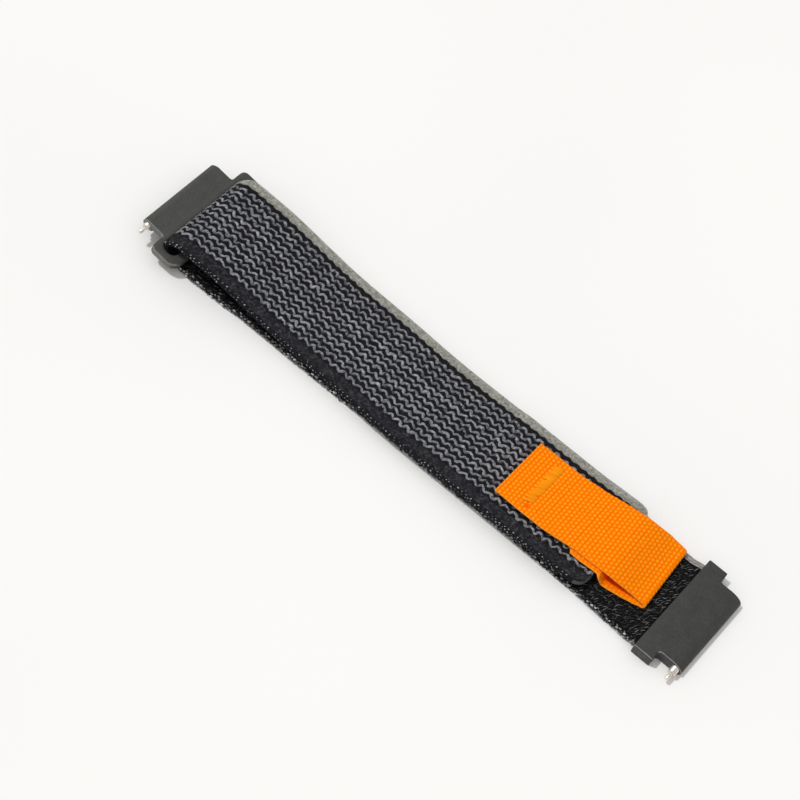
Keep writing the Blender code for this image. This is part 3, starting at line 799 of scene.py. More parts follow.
@dataclass
class StrapPath:
    """Middle line of the folded webbing, from the fixed connector round the loop to the flap's tip.

    Distance along it is 0 at the bottom of the loop, below 0 on the base and above 0 on the flap.
    """

    thick: float = 0.00165
    loop_x: float = -0.060807
    loop_z: float = 0.0037
    loop_radius: float = 0.0037
    fall_length: float = 0.0312
    flap_rest: float = 0.0017
    hook_start: float = 0.01599
    hook_ramp: float = 0.0050
    hook_rise: float = 0.0005
    tip_x: float = 0.04665
    base_end_x: float = 0.0653
    ramp_start: float = 0.05865
    ramp_length: float = 0.0030
    pocket_floor: float = 0.00062
    bulge: float = 0.0008
    half_width: float = 0.0122
    far_corner: float = 0.0024
    near_corner: float = 0.0004
    corner_reach: float = 1.6
    corner_limit: float = 1.2
    step: float = 0.0001
    sway_span: float = 0.006
    base_sway: tuple = (
        (-0.0610, 0.0), (-0.0520, -0.0001), (-0.0430, 0.0004), (-0.0260, 0.0005), (-0.0070, 0.0008),
        (0.0110, 0.0007), (0.0240, 0.0009), (0.0450, 0.0007), (0.0560, 0.0002), (0.0610, 0.0), (0.0660, 0.0),
    )
    flap_sway: tuple = (
        (-0.0610, 0.0), (-0.0564, 0.00005), (-0.0504, 0.0004), (-0.0444, 0.0006), (-0.0384, 0.0007),
        (-0.0324, 0.00065), (-0.0264, 0.00047), (-0.0204, 0.00036), (-0.0144, 0.0002), (-0.0084, -0.0001),
        (-0.0024, -0.00025), (0.0036, -0.0002), (0.0096, -0.0001), (0.0216, -0.0001), (0.0336, -0.00003),
        (0.0396, 0.0003), (0.0466, 0.0006),
    )
    along: np.ndarray = field(init=False)
    line: np.ndarray = field(init=False)
    heading: np.ndarray = field(init=False)
    sway: np.ndarray = field(init=False)

    def __post_init__(self) -> None:
        """Work out the line's points, lengths, headings and sideways sway."""
        half = self.thick / 2
        radius = self.loop_radius - half
        base_x = np.arange(self.base_end_x, self.loop_x, -self.step)
        base_z = self.pocket_floor * ease((base_x - self.ramp_start) / self.ramp_length) + half
        turn = np.linspace(0, np.pi, int(np.pi * radius / self.step))
        bend_x = self.loop_x - np.sin(turn) * radius - self.bulge * np.sin(turn) ** 2
        bend_z = self.loop_z - np.cos(turn) * radius
        flap_x = np.arange(self.loop_x + self.step, self.tip_x, self.step)
        flap_z = self.flap_floor(flap_x) + half
        self.line = np.stack(
            [np.concatenate([base_x, bend_x, flap_x]), np.concatenate([base_z, bend_z, flap_z])], 1
        )
        run = lengths(self.line)
        self.along = run - run[len(base_x)]
        self.heading = headings(self.line)
        self.sway = np.concatenate(
            [listed(base_x, self.base_sway), np.zeros(len(bend_x)), listed(flap_x, self.flap_sway)]
        )
        window = np.hanning(int(self.sway_span / self.step))
        padded = np.pad(self.sway, len(window) // 2, mode="edge")
        even = np.convolve(padded, window / window.sum(), mode="same")
        self.sway = even[len(window) // 2 :][: len(self.along)]

    @property
    def start(self) -> float:
        """Distance at the base's end in the connector."""
        return float(self.along[0])

    @property
    def end(self) -> float:
        """Distance at the flap's tip."""
        return float(self.along[-1])

    def flap_floor(self, x: np.ndarray) -> np.ndarray:
        """Height of the flap's lower face.

        Args:
            x: Places along X.

        Returns:
            The heights there.
        """
        top = 2 * self.loop_radius - self.thick
        fall = (top - self.flap_rest) * (1 - ease((x - self.loop_x) / self.fall_length))
        over_hooks = ease((x - self.hook_start + self.hook_ramp) / self.hook_ramp)
        return self.flap_rest + fall + self.hook_rise * over_hooks

    def at_x(self, x: float) -> float:
        """Distance along the flap at which it passes a place along X."""
        flap = self.along > math.pi * self.loop_radius / 2
        return float(np.interp(x, self.line[flap, 0], self.along[flap]))

    def base_at_x(self, x: float) -> float:
        """Distance along the base at which it passes a place along X."""
        base = self.along <= 0
        return float(np.interp(x, self.line[base, 0][::-1], self.along[base][::-1]))

    def at(self, distance: np.ndarray, values: np.ndarray) -> np.ndarray:
        """Values of the line's points, read at other distances along it."""
        return np.interp(distance, self.along, values)

    def pinched(self, distance: np.ndarray, across: np.ndarray) -> np.ndarray:
        """Draw the webbing's edges in where it turns inside the ring's slot.

        Args:
            distance: Distance along the line.
            across: Place across the flat webbing.

        Returns:
            Place across, with the bend's two corners rounded.
        """
        lead = int(np.argmin(self.line[:, 0]))
        ahead = self.at(distance, self.line[:, 0]) - self.line[lead, 0]
        under = ease(distance / self.along[lead])
        drawn = across.copy()
        for sign, radius in ((1.0, self.far_corner), (-1.0, self.near_corner)):
            into = np.where(distance > self.along[lead], np.clip(radius - ahead, 0, radius), radius * under)
            lost = radius - np.sqrt(np.maximum(radius**2 - into**2, 0))
            reach = self.corner_reach * radius
            beside = np.clip((sign * across - (self.half_width - reach)) / reach, 0, self.corner_limit)
            drawn -= sign * lost * beside**2
        return drawn

    def lay(self, flat: Points) -> Points:
        """Wrap flat webbing round the line.

        Args:
            flat: Distance along, place across and height outwards from the middle line, one row each.

        Returns:
            The places in the row frame.
        """
        distance, height = flat[:, 0], flat[:, 2]
        x, z = self.at(distance, self.line[:, 0]), self.at(distance, self.line[:, 1])
        go_x, go_z = self.at(distance, self.heading[:, 0]), self.at(distance, self.heading[:, 1])
        across = self.pinched(distance, flat[:, 1]) + self.at(distance, self.sway)
        return np.stack([x - go_z * height, across, z + go_x * height], 1)


@dataclass
class Run:
    """A stretch of the webbing that one piece covers: its name, line, first and last distance, and seed."""

    name: str
    path: StrapPath
    start: float
    end: float
    seed: int = SEED

    @property
    def length(self) -> float:
        """Distance from its start to its end."""
        return self.end - self.start

    def at(self, share: np.ndarray) -> np.ndarray:
        """Distance along the line at shares of the run."""
        return self.start + self.length * share


@dataclass
class Webbing:
    """Woven ground of the strap, without the yarns on its face."""

    width: float = 0.0244
    low: float = -0.00055
    high: float = 0.00066
    edge_steps: int = 6
    face_steps: int = 16
    step: float = 0.0003
    corner: float = 0.0028
    round_end: float = 0.0004
    fused: float = 0.0005
    fused_from: float = 0.00005
    fused_tone: float = 0.8
    woven_tone: float = 0.25

    @property
    def middle(self) -> float:
        """Height of the section's middle."""
        return (self.high + self.low) / 2

    @property
    def radius(self) -> float:
        """Radius of the section's round edges."""
        return (self.high - self.low) / 2

    def section(self) -> Points:
        """Walk round the section.

        Returns:
            Its corners, across and outwards.
        """
        reach = self.width / 2 - self.radius
        turns = [math.radians(turn) for turn in np.linspace(-90, 90, self.edge_steps + 1)]
        far = [(reach + self.radius * math.cos(t), self.middle + self.radius * math.sin(t)) for t in turns]
        top = [(y, self.high) for y in np.linspace(reach, -reach, self.face_steps + 1)[1:-1]]
        near = [(-y, 2 * self.middle - h) for y, h in far]
        bottom = [(y, self.low) for y in np.linspace(-reach, reach, self.face_steps + 1)[1:-1]]
        return np.array(far + top + near + bottom)

    def lost(self, distance: np.ndarray, tip: float) -> np.ndarray:
        """Width that one of the tip's round corners takes away."""
        into = np.clip(distance - (tip - self.corner), 0, self.corner)
        return self.corner - np.sqrt(np.maximum(self.corner**2 - into**2, 0))

    def build(self, run: Run, tipped: bool = False) -> Piece:
        """Make one run of the ground.

        Args:
            run: Stretch that it covers.
            tipped: Whether it ends in the tip with round corners and a fused rim.

        Returns:
            A closed piece.
        """
        section = self.section()
        count = len(section)
        kept = {}

        def place(u: np.ndarray, v: np.ndarray) -> np.ndarray:
            """Place corners along the run and round the section."""
            spot = section[np.rint(v * count).astype(int) % count]
            distance = run.at(u)
            left = np.minimum(distance - run.start, run.end - distance)
            thin = np.sqrt(np.clip(1 - (1 - np.clip(left / self.round_end, 0, 1)) ** 2, 0, 1))
            height = self.middle + (spot[:, 1] - self.middle) * thin
            lost = self.lost(distance, run.end) if tipped else np.zeros(len(distance))
            across = spot[:, 0] * (1 - 2 * lost / self.width)
            beside = (lost > self.fused_from) & (np.abs(spot[:, 0]) > self.width / 2 - self.fused)
            rim = beside | (run.end - distance < (self.fused if tipped else 0))
            kept["relief"] = np.where(rim, self.fused_tone, self.woven_tone)
            return run.path.lay(np.stack([distance, across, height], 1))

        piece = formed(run.name, int(run.length / self.step), count, place)
        note(piece, "relief", kept["relief"])
        return smoothed(sealed(piece), angle_deg=60)


@dataclass
class ZigzagRows:
    """Rows of zigzag yarn along the webbing's face."""

    first: float = 0.00906
    pitch: float = 0.001566
    count: int = 12
    period: float = 0.00217
    swing: float = 0.00036
    width: float = 0.00072
    crest: float = 0.00026
    foot: float = 0.00060
    samples: int = 13
    tip_gap: float = 0.0002
    lane_across: tuple = (-1.0, -0.75, -0.35, 0.0, 0.35, 0.75, 1.0)
    lane_crown: tuple = (-0.3, 0.5, 0.9, 1.0, 0.9, 0.5, -0.3)
    float_rise: tuple = (0.6, 0.4, 0.1)
    waver: float = 0.00004
    flatness: float = 0.18
    phase_drift: float = 0.22
    width_drift: float = 0.10
    swing_drift: float = 0.14
    fray: float = 0.9
    middle_tone: float = 0.38
    grain_tone: float = 0.15
    # Painted highlight and shade along each wave, and painted shade on the yarn's round sides.
    crest_tone: float = 0.08
    side_shade: float = 0.2
    row_tone: float = 0.04

    def last(self, run: Run, y_row: float, corner: float) -> float:
        """Find where a row ends, short of the tip and of its round corners.

        Args:
            run: Stretch that the rows cover.
            y_row: Place of the row across.
            corner: Radius of the tip's corners, or 0.

        Returns:
            Distance along the line.
        """
        inset = max(abs(y_row) - (run.path.half_width - corner), 0.0)
        cut = corner - math.sqrt(max(corner**2 - inset**2, 0)) if corner else 0.0
        return run.end - cut - self.tip_gap

    def build_row(self, run: Run, number: int, corner: float, rng: np.random.Generator) -> Piece:
        """Make one row.

        Args:
            run: Stretch that the rows cover.
            number: Which row, 0 next to the far edge.
            corner: Radius of the tip's corners.
            rng: Source of its unevenness.

        Returns:
            The row, with its tone in an attribute.
        """
        columns = int(run.length / self.period * self.samples)
        across, crown = np.array(self.lane_across), np.array(self.lane_crown)
        lanes = len(across) - 1
        y_row = self.first - self.pitch * number
        length = self.last(run, y_row, corner) - run.start
        drift = soft_noise((columns + 1, 4), 3, rng)
        size = (columns + 1, lanes + 1)
        grain = soft_noise(size, 1, rng) + rng.normal(0, self.fray, size)

        def place(u: np.ndarray, v: np.ndarray) -> np.ndarray:
            """Place corners along and across the row, still flat."""
            column = np.rint(u * columns).astype(int)
            lane = np.rint(v * lanes).astype(int)
            distance = run.start + length * u
            phase = 2 * np.pi * distance / self.period + self.phase_drift * drift[column, 3]
            wave = np.sin(phase) + self.flatness * np.cos(2 * phase)
            turn = np.cos(phase) - 2 * self.flatness * np.sin(2 * phase)
            slope = turn * 2 * np.pi * self.swing / self.period
            uneven = 1 + self.width_drift * drift[column, 1] + self.width_drift * grain[column, lane]
            side = across[lane] * self.width / 2 * uneven
            lean = 1 / np.sqrt(1 + slope**2)
            swing = self.swing * wave * (1 + self.swing_drift * drift[column, 0])
            middle = y_row + swing + self.waver * drift[column, 1]
            low, rise, stray = self.float_rise
            float_up = low + rise * np.abs(np.cos(phase)) + stray * drift[column, 2]
            height = self.foot + self.crest * crown[lane] * np.where(crown[lane] > 0, float_up, 1)
            return np.stack([distance - side * slope * lean, middle + side * lean, height], 1)

        row = formed(f"{run.name}_{number}", columns, lanes, place)
        flat = corners(row)
        lane, column = np.divmod(np.arange(len(flat)), columns + 1)
        distance = run.start + length * column / columns
        # Tone with painted highlight and shade along each wave and painted shade down the round sides.
        crests = self.crest_tone * np.sin(2 * np.pi * distance / self.period)
        sides = self.side_shade * np.abs(across[lane]) ** 3
        bright = self.middle_tone + self.grain_tone * grain[column, lane] + crests - sides
        note(row, "tone", np.clip(bright + rng.normal(0, self.row_tone), 0, 1))
        put(row, run.path.lay(flat))
        return row

    def build(self, run: Run, corner: float) -> Piece:
        """Make all rows as one piece.

        Args:
            run: Stretch that they cover.
            corner: Radius of the tip's corners, which the outer rows stop short of, or 0 without a tip.

        Returns:
            One piece that holds all rows.
        """
        rng = np.random.default_rng(run.seed)
        rows = [self.build_row(run, number, corner, rng) for number in range(self.count)]
        return smoothed(joined(run.name, rows), angle_deg=80)


@dataclass
class ReliefBand:
    """A band of the webbing's face whose weave is in its own relief."""

    near: float
    far: float
    height: float
    depth: float
    step: float = 0.00016
    rim: float = 0.0003
    edge_drop: float = 0.0
    roll_start: float = 0.0115
    roll_span: float = 0.0009
    roll_limit: float = 1.2
    scallop: float = 0.0
    period: float = 0.00217
    side: Side = Side.OUTER

    def relief(self, distance: np.ndarray, across: np.ndarray, rough: np.ndarray) -> np.ndarray:
        """Height of the weave, 0 to 1, at flat places."""
        raise NotImplementedError

    def build(self, run: Run, ground: Optional[Webbing] = None) -> Piece:
        """Make the band.

        Args:
            run: Stretch that it covers.
            ground: Webbing whose round corners at the tip the band follows, if it reaches them.

        Returns:
            The piece, with its relief in an attribute.
        """
        rng = np.random.default_rng(run.seed)
        columns = int(run.length / self.step)
        rows = max(int((self.far - self.near) / self.step), 4)
        rough = soft_noise((columns + 1, rows + 1), 1, rng)
        kept = {}

        def place(u: np.ndarray, v: np.ndarray) -> np.ndarray:
            """Place corners along and across the band."""
            column = np.rint(u * columns).astype(int)
            row = np.rint(v * rows).astype(int)
            distance = run.at(u)
            lost = ground.lost(distance, run.path.end) if ground else 0
            reach = max(abs(self.near), abs(self.far)) - lost
            near, far = np.clip(self.near, -reach, reach), np.clip(self.far, -reach, reach)
            wave = self.scallop * np.sin(2 * np.pi * distance / self.period)
            across = near + (far - near) * v + wave * (1 - v if self.near > 0 else v)
            weave = kept["relief"] = self.relief(distance, across, rough[column, row])
            sink = self.rim * (1 - ease(np.minimum(v, 1 - v) * (self.far - self.near) / self.rim))
            outside = np.clip((np.abs(across) - self.roll_start) / self.roll_span, 0, self.roll_limit)
            height = (self.height + self.depth * weave - sink - self.edge_drop * outside**2) * self.side.value
            return run.path.lay(np.stack([distance, across, height], 1))

        piece = formed(run.name, columns, rows, place)
        note(piece, "relief", kept["relief"])
        if self.side is Side.INNER:
            turned_over(piece)
        return smoothed(piece, angle_deg=180)


@dataclass
class TwillBand(ReliefBand):
    """Dark band along the near edge, in a fine broken twill."""

    rib: float = 0.00050
    rib_slant: float = 0.8
    tie_slant: float = 0.5
    tie_pitch: float = 0.00080
    # Of the relief: its level, and the parts of ribs, ties on ribs and roughness.
    shares: tuple = (0.35, 0.12, 0.15, 0.2)

    def relief(self, distance: np.ndarray, across: np.ndarray, rough: np.ndarray) -> np.ndarray:
        """Diagonal ribs with broken crowns.

        Args:
            distance: Distances along the line.
            across: Places across.
            rough: Random heights there.

        Returns:
            Height of the weave, 0 to 1.
        """
        ribs = ripple(distance - across * self.rib_slant, self.rib)
        ties = ripple(distance * self.tie_slant + across, self.tie_pitch)
        level, rib, tie, stray = self.shares
        return np.clip(level + rib * ribs + tie * ties * ribs + stray * rough, 0, 1)


@dataclass
class PlushBand(ReliefBand):
    """Grey-green band of short pile along the far edge."""

    shaded: float = 0.0008
    worn_from: float = 0.0116
    worn_span: float = 0.001
    # Of the relief: its level, and the parts of roughness, shade and wear.
    shares: tuple = (0.46, 0.2, 0.2, 0.22)

    def relief(self, distance: np.ndarray, across: np.ndarray, rough: np.ndarray) -> np.ndarray:
        """Soft clumps of pile, a little shaded beside the dark rows and paler at the edge.

        Args:
            distance: Distances along the line.
            across: Places across.
            rough: Random heights there.

        Returns:
            Height of the weave, 0 to 1.
        """
        level, stray, shade_share, worn_share = self.shares
        shaded = shade_share * (1 - ease((across - self.near) / self.shaded))
        worn = worn_share * ease((across - self.worn_from) / self.worn_span)
        return np.clip(level + stray * rough - shaded + worn, 0, 1)


@dataclass
class SelvedgeBand(ReliefBand):
    """Pale ribbed strip along the far edge of the webbing's inner face."""

    rib: float = 0.00062
    rib_slant: float = 0.1
    tie_pitch: float = 0.0013
    # Of the relief: its level, and the parts of ties on ribs, ribs and roughness.
    shares: tuple = (0.25, 0.45, 0.25, 0.06)

    def relief(self, distance: np.ndarray, across: np.ndarray, rough: np.ndarray) -> np.ndarray:
        """Long ribs along the edge, broken by slanted ties.

        Args:
            distance: Distances along the line.
            across: Places across.
            rough: Random heights there.

        Returns:
            Height of the weave, 0 to 1.
        """
        ribs = ripple(across + self.rib_slant * distance, self.rib)
        ties = ripple(distance + across, self.tie_pitch)
        level, tie, rib, stray = self.shares
        return np.clip(level + tie * ribs * ties + rib * ribs + stray * rough, 0, 1)


@dataclass
class EdgeStitches:
    """Row of short slanted stitches along an edge of the webbing."""

    across: float
    height: float
    pitch: float
    length: float
    width: float
    thick: float = 0.0002
    slant_deg: float = 25.0
    slant_spread_deg: float = 14.0
    jitter: float = 0.00006
    pitch_spread: float = 0.12
    size_spread: float = 0.18
    size_limits: tuple = (0.6, 1.4)
    tone: tuple = (0.5, 1.0)
    bright_power: float = 1.0
    missing: float = 0.1
    bead_fullness: float = 0.6

    def bead(self) -> Piece:
        """Make one stitch as a small closed bead.

        Returns:
            The bead, 1 long, 1 wide and 1 high.
        """

        def place(u: np.ndarray, v: np.ndarray) -> np.ndarray:
            """Place corners along and round the bead."""
            turn = 2 * np.pi * v
            bulge = np.sin(np.pi * u) ** self.bead_fullness / 2
            return np.stack([u - 0.5, np.cos(turn) * bulge, np.sin(turn) * bulge], 1)

        return sealed(formed("stitch", columns=4, rows=6, place=place), reach=1e-3)

    def build(self, run: Run) -> Piece:
        """Make the row.

        Args:
            run: Stretch that it covers.

        Returns:
            One piece that holds all stitches.
        """
        rng = np.random.default_rng(run.seed)
        distance = np.arange(run.start + self.pitch / 2, run.end - self.pitch / 2, self.pitch)
        distance = distance[rng.random(len(distance)) >= self.missing]
        count = len(distance)
        distance = distance + rng.normal(0, self.pitch * self.pitch_spread, count)
        across = self.across + rng.normal(0, self.jitter, count)
        height = self.height + rng.normal(0, self.jitter / 2, count)
        grown = rng.normal(1, self.size_spread, (count, 1)).clip(*self.size_limits)
        sizes = np.tile([self.length, self.width, self.thick], (count, 1)) * grown
        turns = turned_flat(np.radians(self.slant_deg + rng.normal(0, self.slant_spread_deg, count)), sizes)
        low, high = self.tone
        bright = low + (high - low) * rng.random(count) ** self.bright_power
        row = scattered(run.name, self.bead(), np.stack([distance, across, height], 1), turns, bright)
        put(row, run.path.lay(corners(row)))
        return smoothed(row, angle_deg=80)


@dataclass
class BoundEdge:
    """Speckled binding round the webbing's near edge: rows of beads from its top to its bottom."""

    pitch: float = 0.00098
    bead_length: float = 0.00080
    bead_wide: float = 0.00036
    bead_thick: float = 0.00024
    proud: float = 0.00002
    slant_deg: float = 24.0
    missing: float = 0.05
    # Of each row: its turn round the edge, its darkest and brightest tone, and how rare the bright ones are.
    rows: tuple = (
        (-74.0, 0.0, 0.45, 3.5),
        (-44.0, 0.0, 0.80, 2.2),
        (-16.0, 0.0, 0.20, 1.5),
        (12.0, 0.05, 0.75, 1.8),
        (40.0, 0.0, 0.30, 1.5),
    )

    def build(self, run: Run, ground: Webbing) -> Piece:
        """Make the binding.

        Args:
            run: Stretch that it covers.
            ground: Webbing whose edge it binds.

        Returns:
            One piece that holds all beads.
        """
        radius = ground.radius + self.proud
        made = []
        for number, (turn_deg, low, high, power) in enumerate(self.rows):
            level = math.cos(math.radians(turn_deg))
            upright = math.sin(math.radians(turn_deg))
            row = EdgeStitches(
                across=-(ground.width / 2 - ground.radius + radius * level),
                height=ground.middle + radius * upright,
                pitch=self.pitch,
                length=self.bead_length,
                width=self.bead_wide * abs(upright) + self.bead_thick * level,
                thick=self.bead_wide * level + self.bead_thick * abs(upright),
                slant_deg=self.slant_deg * (-1) ** number * abs(upright),
                tone=(low, high),
                bright_power=power,
                missing=self.missing,
            )
            start = run.start + self.pitch * 0.5 * (number % 2)
            made.append(row.build(Run(f"{run.name}_{number}", run.path, start, run.end, run.seed + number)))
        return joined(run.name, made)


@dataclass
class Pile:
    """Field of small loops that stand up from the inside of the webbing."""

    near: float = -0.0109
    far: float = 0.0104
    spacing: float = 0.00072
    row_spacing: float = 0.000576
    length: float = 0.00110
    rise: float = 0.00026
    thread: float = 0.00017
    foot_reach: float = 0.01
    foot_share: float = 0.05
    floor: float = 0.00052
    lean_deg: float = -46.6
    spread_deg: float = 24.0
    stray: float = 0.45
    size_limits: tuple = (0.75, 1.2)
    bright_power: float = 3.0
    side: Side = Side.INNER

    def loop(self) -> Piece:
        """Make one loop as a thin closed arch.

        Returns:
            The loop, 1 long and 1 high, with its feet at 0.
        """

        def place(u: np.ndarray, v: np.ndarray) -> np.ndarray:
            """Place corners along and round the thread."""
            arch = np.pi * u
            turn = 2 * np.pi * v
            foot = np.minimum(u, 1 - u) < self.foot_reach
            thin = 0.5 * self.thread / self.length * np.where(foot, self.foot_share, 1)
            out = 1 + np.cos(turn) * thin
            return np.stack([-np.cos(arch) * out / 2, np.sin(turn) * thin, np.sin(arch) * out], 1)

        return sealed(formed("loop", columns=4, rows=3, place=place), reach=1e-4)

    def build(self, run: Run) -> Piece:
        """Make the field.

        Args:
            run: Stretch that it covers.

        Returns:
            One piece that holds all loops.
        """
        rng = np.random.default_rng(run.seed)
        along = np.arange(run.start + self.spacing, run.end - self.spacing / 2, self.spacing)
        across = np.arange(self.near, self.far, self.row_spacing)
        s, y = (grid.ravel() for grid in np.meshgrid(along, across, indexing="ij"))
        count = len(s)
        jitter = rng.uniform(-self.stray, self.stray, (count, 2)) * self.spacing
        level = np.full(count, self.floor * self.side.value)
        places = np.stack([s + jitter[:, 0], y + jitter[:, 1], level], 1)
        sizes = np.tile([self.length, self.length, self.rise], (count, 1))
        sizes *= rng.uniform(*self.size_limits, (count, 1))
        sizes[:, 2] *= self.side.value
        turns = turned_flat(np.radians(rng.normal(self.lean_deg, self.spread_deg, count)), sizes)
        # A few loops are bright: partly lighter fibres, partly painted glints.
        loops = scattered(run.name, self.loop(), places, turns, rng.random(count) ** self.bright_power)
        put(loops, run.path.lay(corners(loops)))
        if self.side is Side.INNER:
            turned_over(loops)
        return smoothed(loops, angle_deg=80)


@dataclass
class Strap:
    """The length of webbing: base on the table, loop round the ring's bar, and flap."""

    path: StrapPath = field(default_factory=StrapPath)
    ground: Webbing = field(default_factory=Webbing)
    rows: ZigzagRows = field(default_factory=ZigzagRows)
    plush: PlushBand = field(default_factory=lambda: PlushBand(
        near=0.0103, far=0.0129, height=0.00072, depth=0.00012, edge_drop=0.0003,
        scallop=0.00016, step=0.00013,
    ))
    twill: TwillBand = field(default_factory=lambda: TwillBand(
        near=-0.0117, far=-0.0088, height=0.00066, depth=0.00009
    ))
    strip: SelvedgeBand = field(default_factory=lambda: SelvedgeBand(
        near=0.0105, far=0.0125, height=0.00060, depth=0.00012, edge_drop=0.0006, side=Side.INNER
    ))
    top_dots: EdgeStitches = field(default_factory=lambda: EdgeStitches(
        across=-0.01172, height=0.00060, pitch=0.0011, length=0.00042, width=0.00022, tone=(0.15, 0.62)
    ))
    side_dots: EdgeStitches = field(default_factory=lambda: EdgeStitches(
        across=-0.01210, height=0.00036, pitch=0.0008, length=0.00045, width=0.00026, tone=(0.05, 0.42),
        bright_power=1.8, jitter=0.0001, slant_deg=-20,
    ))
    hinge: tuple = (-0.054007, 0.0, 0.006119)
    bend_half: float = 0.0030
    rows_start: float = 0.0014
    twill_gap: float = 0.0005
    selvedge_gap: float = 0.0012
    dots_gap: float = 0.003
    pile_start: float = 0.010
    pile_end_x: float = 0.0150
    pocket_x: float = 0.0618
    rows_in_pocket: float = 0.004
    edge_in_pocket: float = 0.0036
    edge_gap: float = 0.0002

    def run(self, name: str, start: float, end: float, offset: int = 0) -> Run:
        """A stretch of this strap, with a seed of its own by its offset."""
        return Run(name, self.path, start, end, SEED + offset)

    def bend(self, piece: Piece) -> None:
        """Bake the transform of a piece of the flap into its mesh.

        Args:
            piece: Piece that spans both bodies.
        """
        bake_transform(piece)

    def build_flap(self) -> list[Piece]:
        """Make the loop and the flap with their woven face.

        Returns:
            Their pieces.
        """
        end, tip = self.path.end, self.ground.corner
        between = ZigzagRows(
            first=self.rows.first + self.rows.pitch / 2,
            count=self.rows.count + 1,
            width=0.0008,
            crest=0.00006,
            samples=10,
        )
        ground = self.ground.build(self.run("flap_ground", 0.0, end), tipped=True)
        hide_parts("strap_bend", "strap_flap")
        light = self.rows.build(self.run("flap_light_rows", self.rows_start, end), tip)
        dark = between.build(self.run("flap_dark_rows", 0.0, end, 1), tip)
        plush = self.plush.build(self.run("flap_plush_band", 0.0, end, 2), self.ground)
        twill = self.twill.build(self.run("flap_twill_band", 0.0, end - self.twill_gap, 3), self.ground)
        dots = joined("flap_edge_stitches", [
            self.top_dots.build(self.run("dots_top", 0.0, end - self.dots_gap, 4)),
            self.side_dots.build(self.run("dots_side", 0.0, end - self.dots_gap, 14)),
        ])
        pile = Pile().build(self.run("flap_pile", self.pile_start, self.path.at_x(self.pile_end_x), 5))
        selvedge = self.strip.build(self.run("flap_selvedge", 0.0, end - self.selvedge_gap, 15), self.ground)
        worn = {
            ground: DARK_GROUND, light: LIGHT_YARN, dark: DARK_YARN, plush: PLUSH_CLOTH, twill: TWILL_CLOTH,
            dots: EDGE_YARN, pile: PILE_YARN, selvedge: SELVEDGE_CLOTH,
        }
        for piece, finish in worn.items():
            Wardrobe.wear(piece, finish)
            self.bend(piece)
        return list(worn)

    def build_base(self) -> list[Piece]:
        """Make the base with its pile and its stitched edges.

        Returns:
            Its pieces.
        """
        start, inside = self.path.start, self.path.base_at_x(self.pocket_x)
        under = ZigzagRows(samples=6, crest=0.00010)
        ground = self.ground.build(self.run("base_ground", start, 0.0))
        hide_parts("strap_base")
        pile = Pile().build(self.run("base_pile", inside, 0.0, 6))
        edge = self.run("base_edge_stitches", start + self.edge_in_pocket, -self.edge_gap, 7)
        stitches = BoundEdge().build(edge, self.ground)
        rows = under.build(self.run("base_light_rows", start + self.rows_in_pocket, self.rows_start, 20), 0.0)
        selvedge = self.strip.build(self.run("base_selvedge", inside, 0.0, 16), self.ground)
        worn = {
            ground: PILE_GROUND, pile: PILE_YARN, stitches: EDGE_YARN, rows: LIGHT_YARN,
            selvedge: SELVEDGE_CLOTH,
        }
        for piece, finish in worn.items():
            Wardrobe.wear(piece, finish)
            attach(piece, Ride.STRAP.value)
        return list(worn)


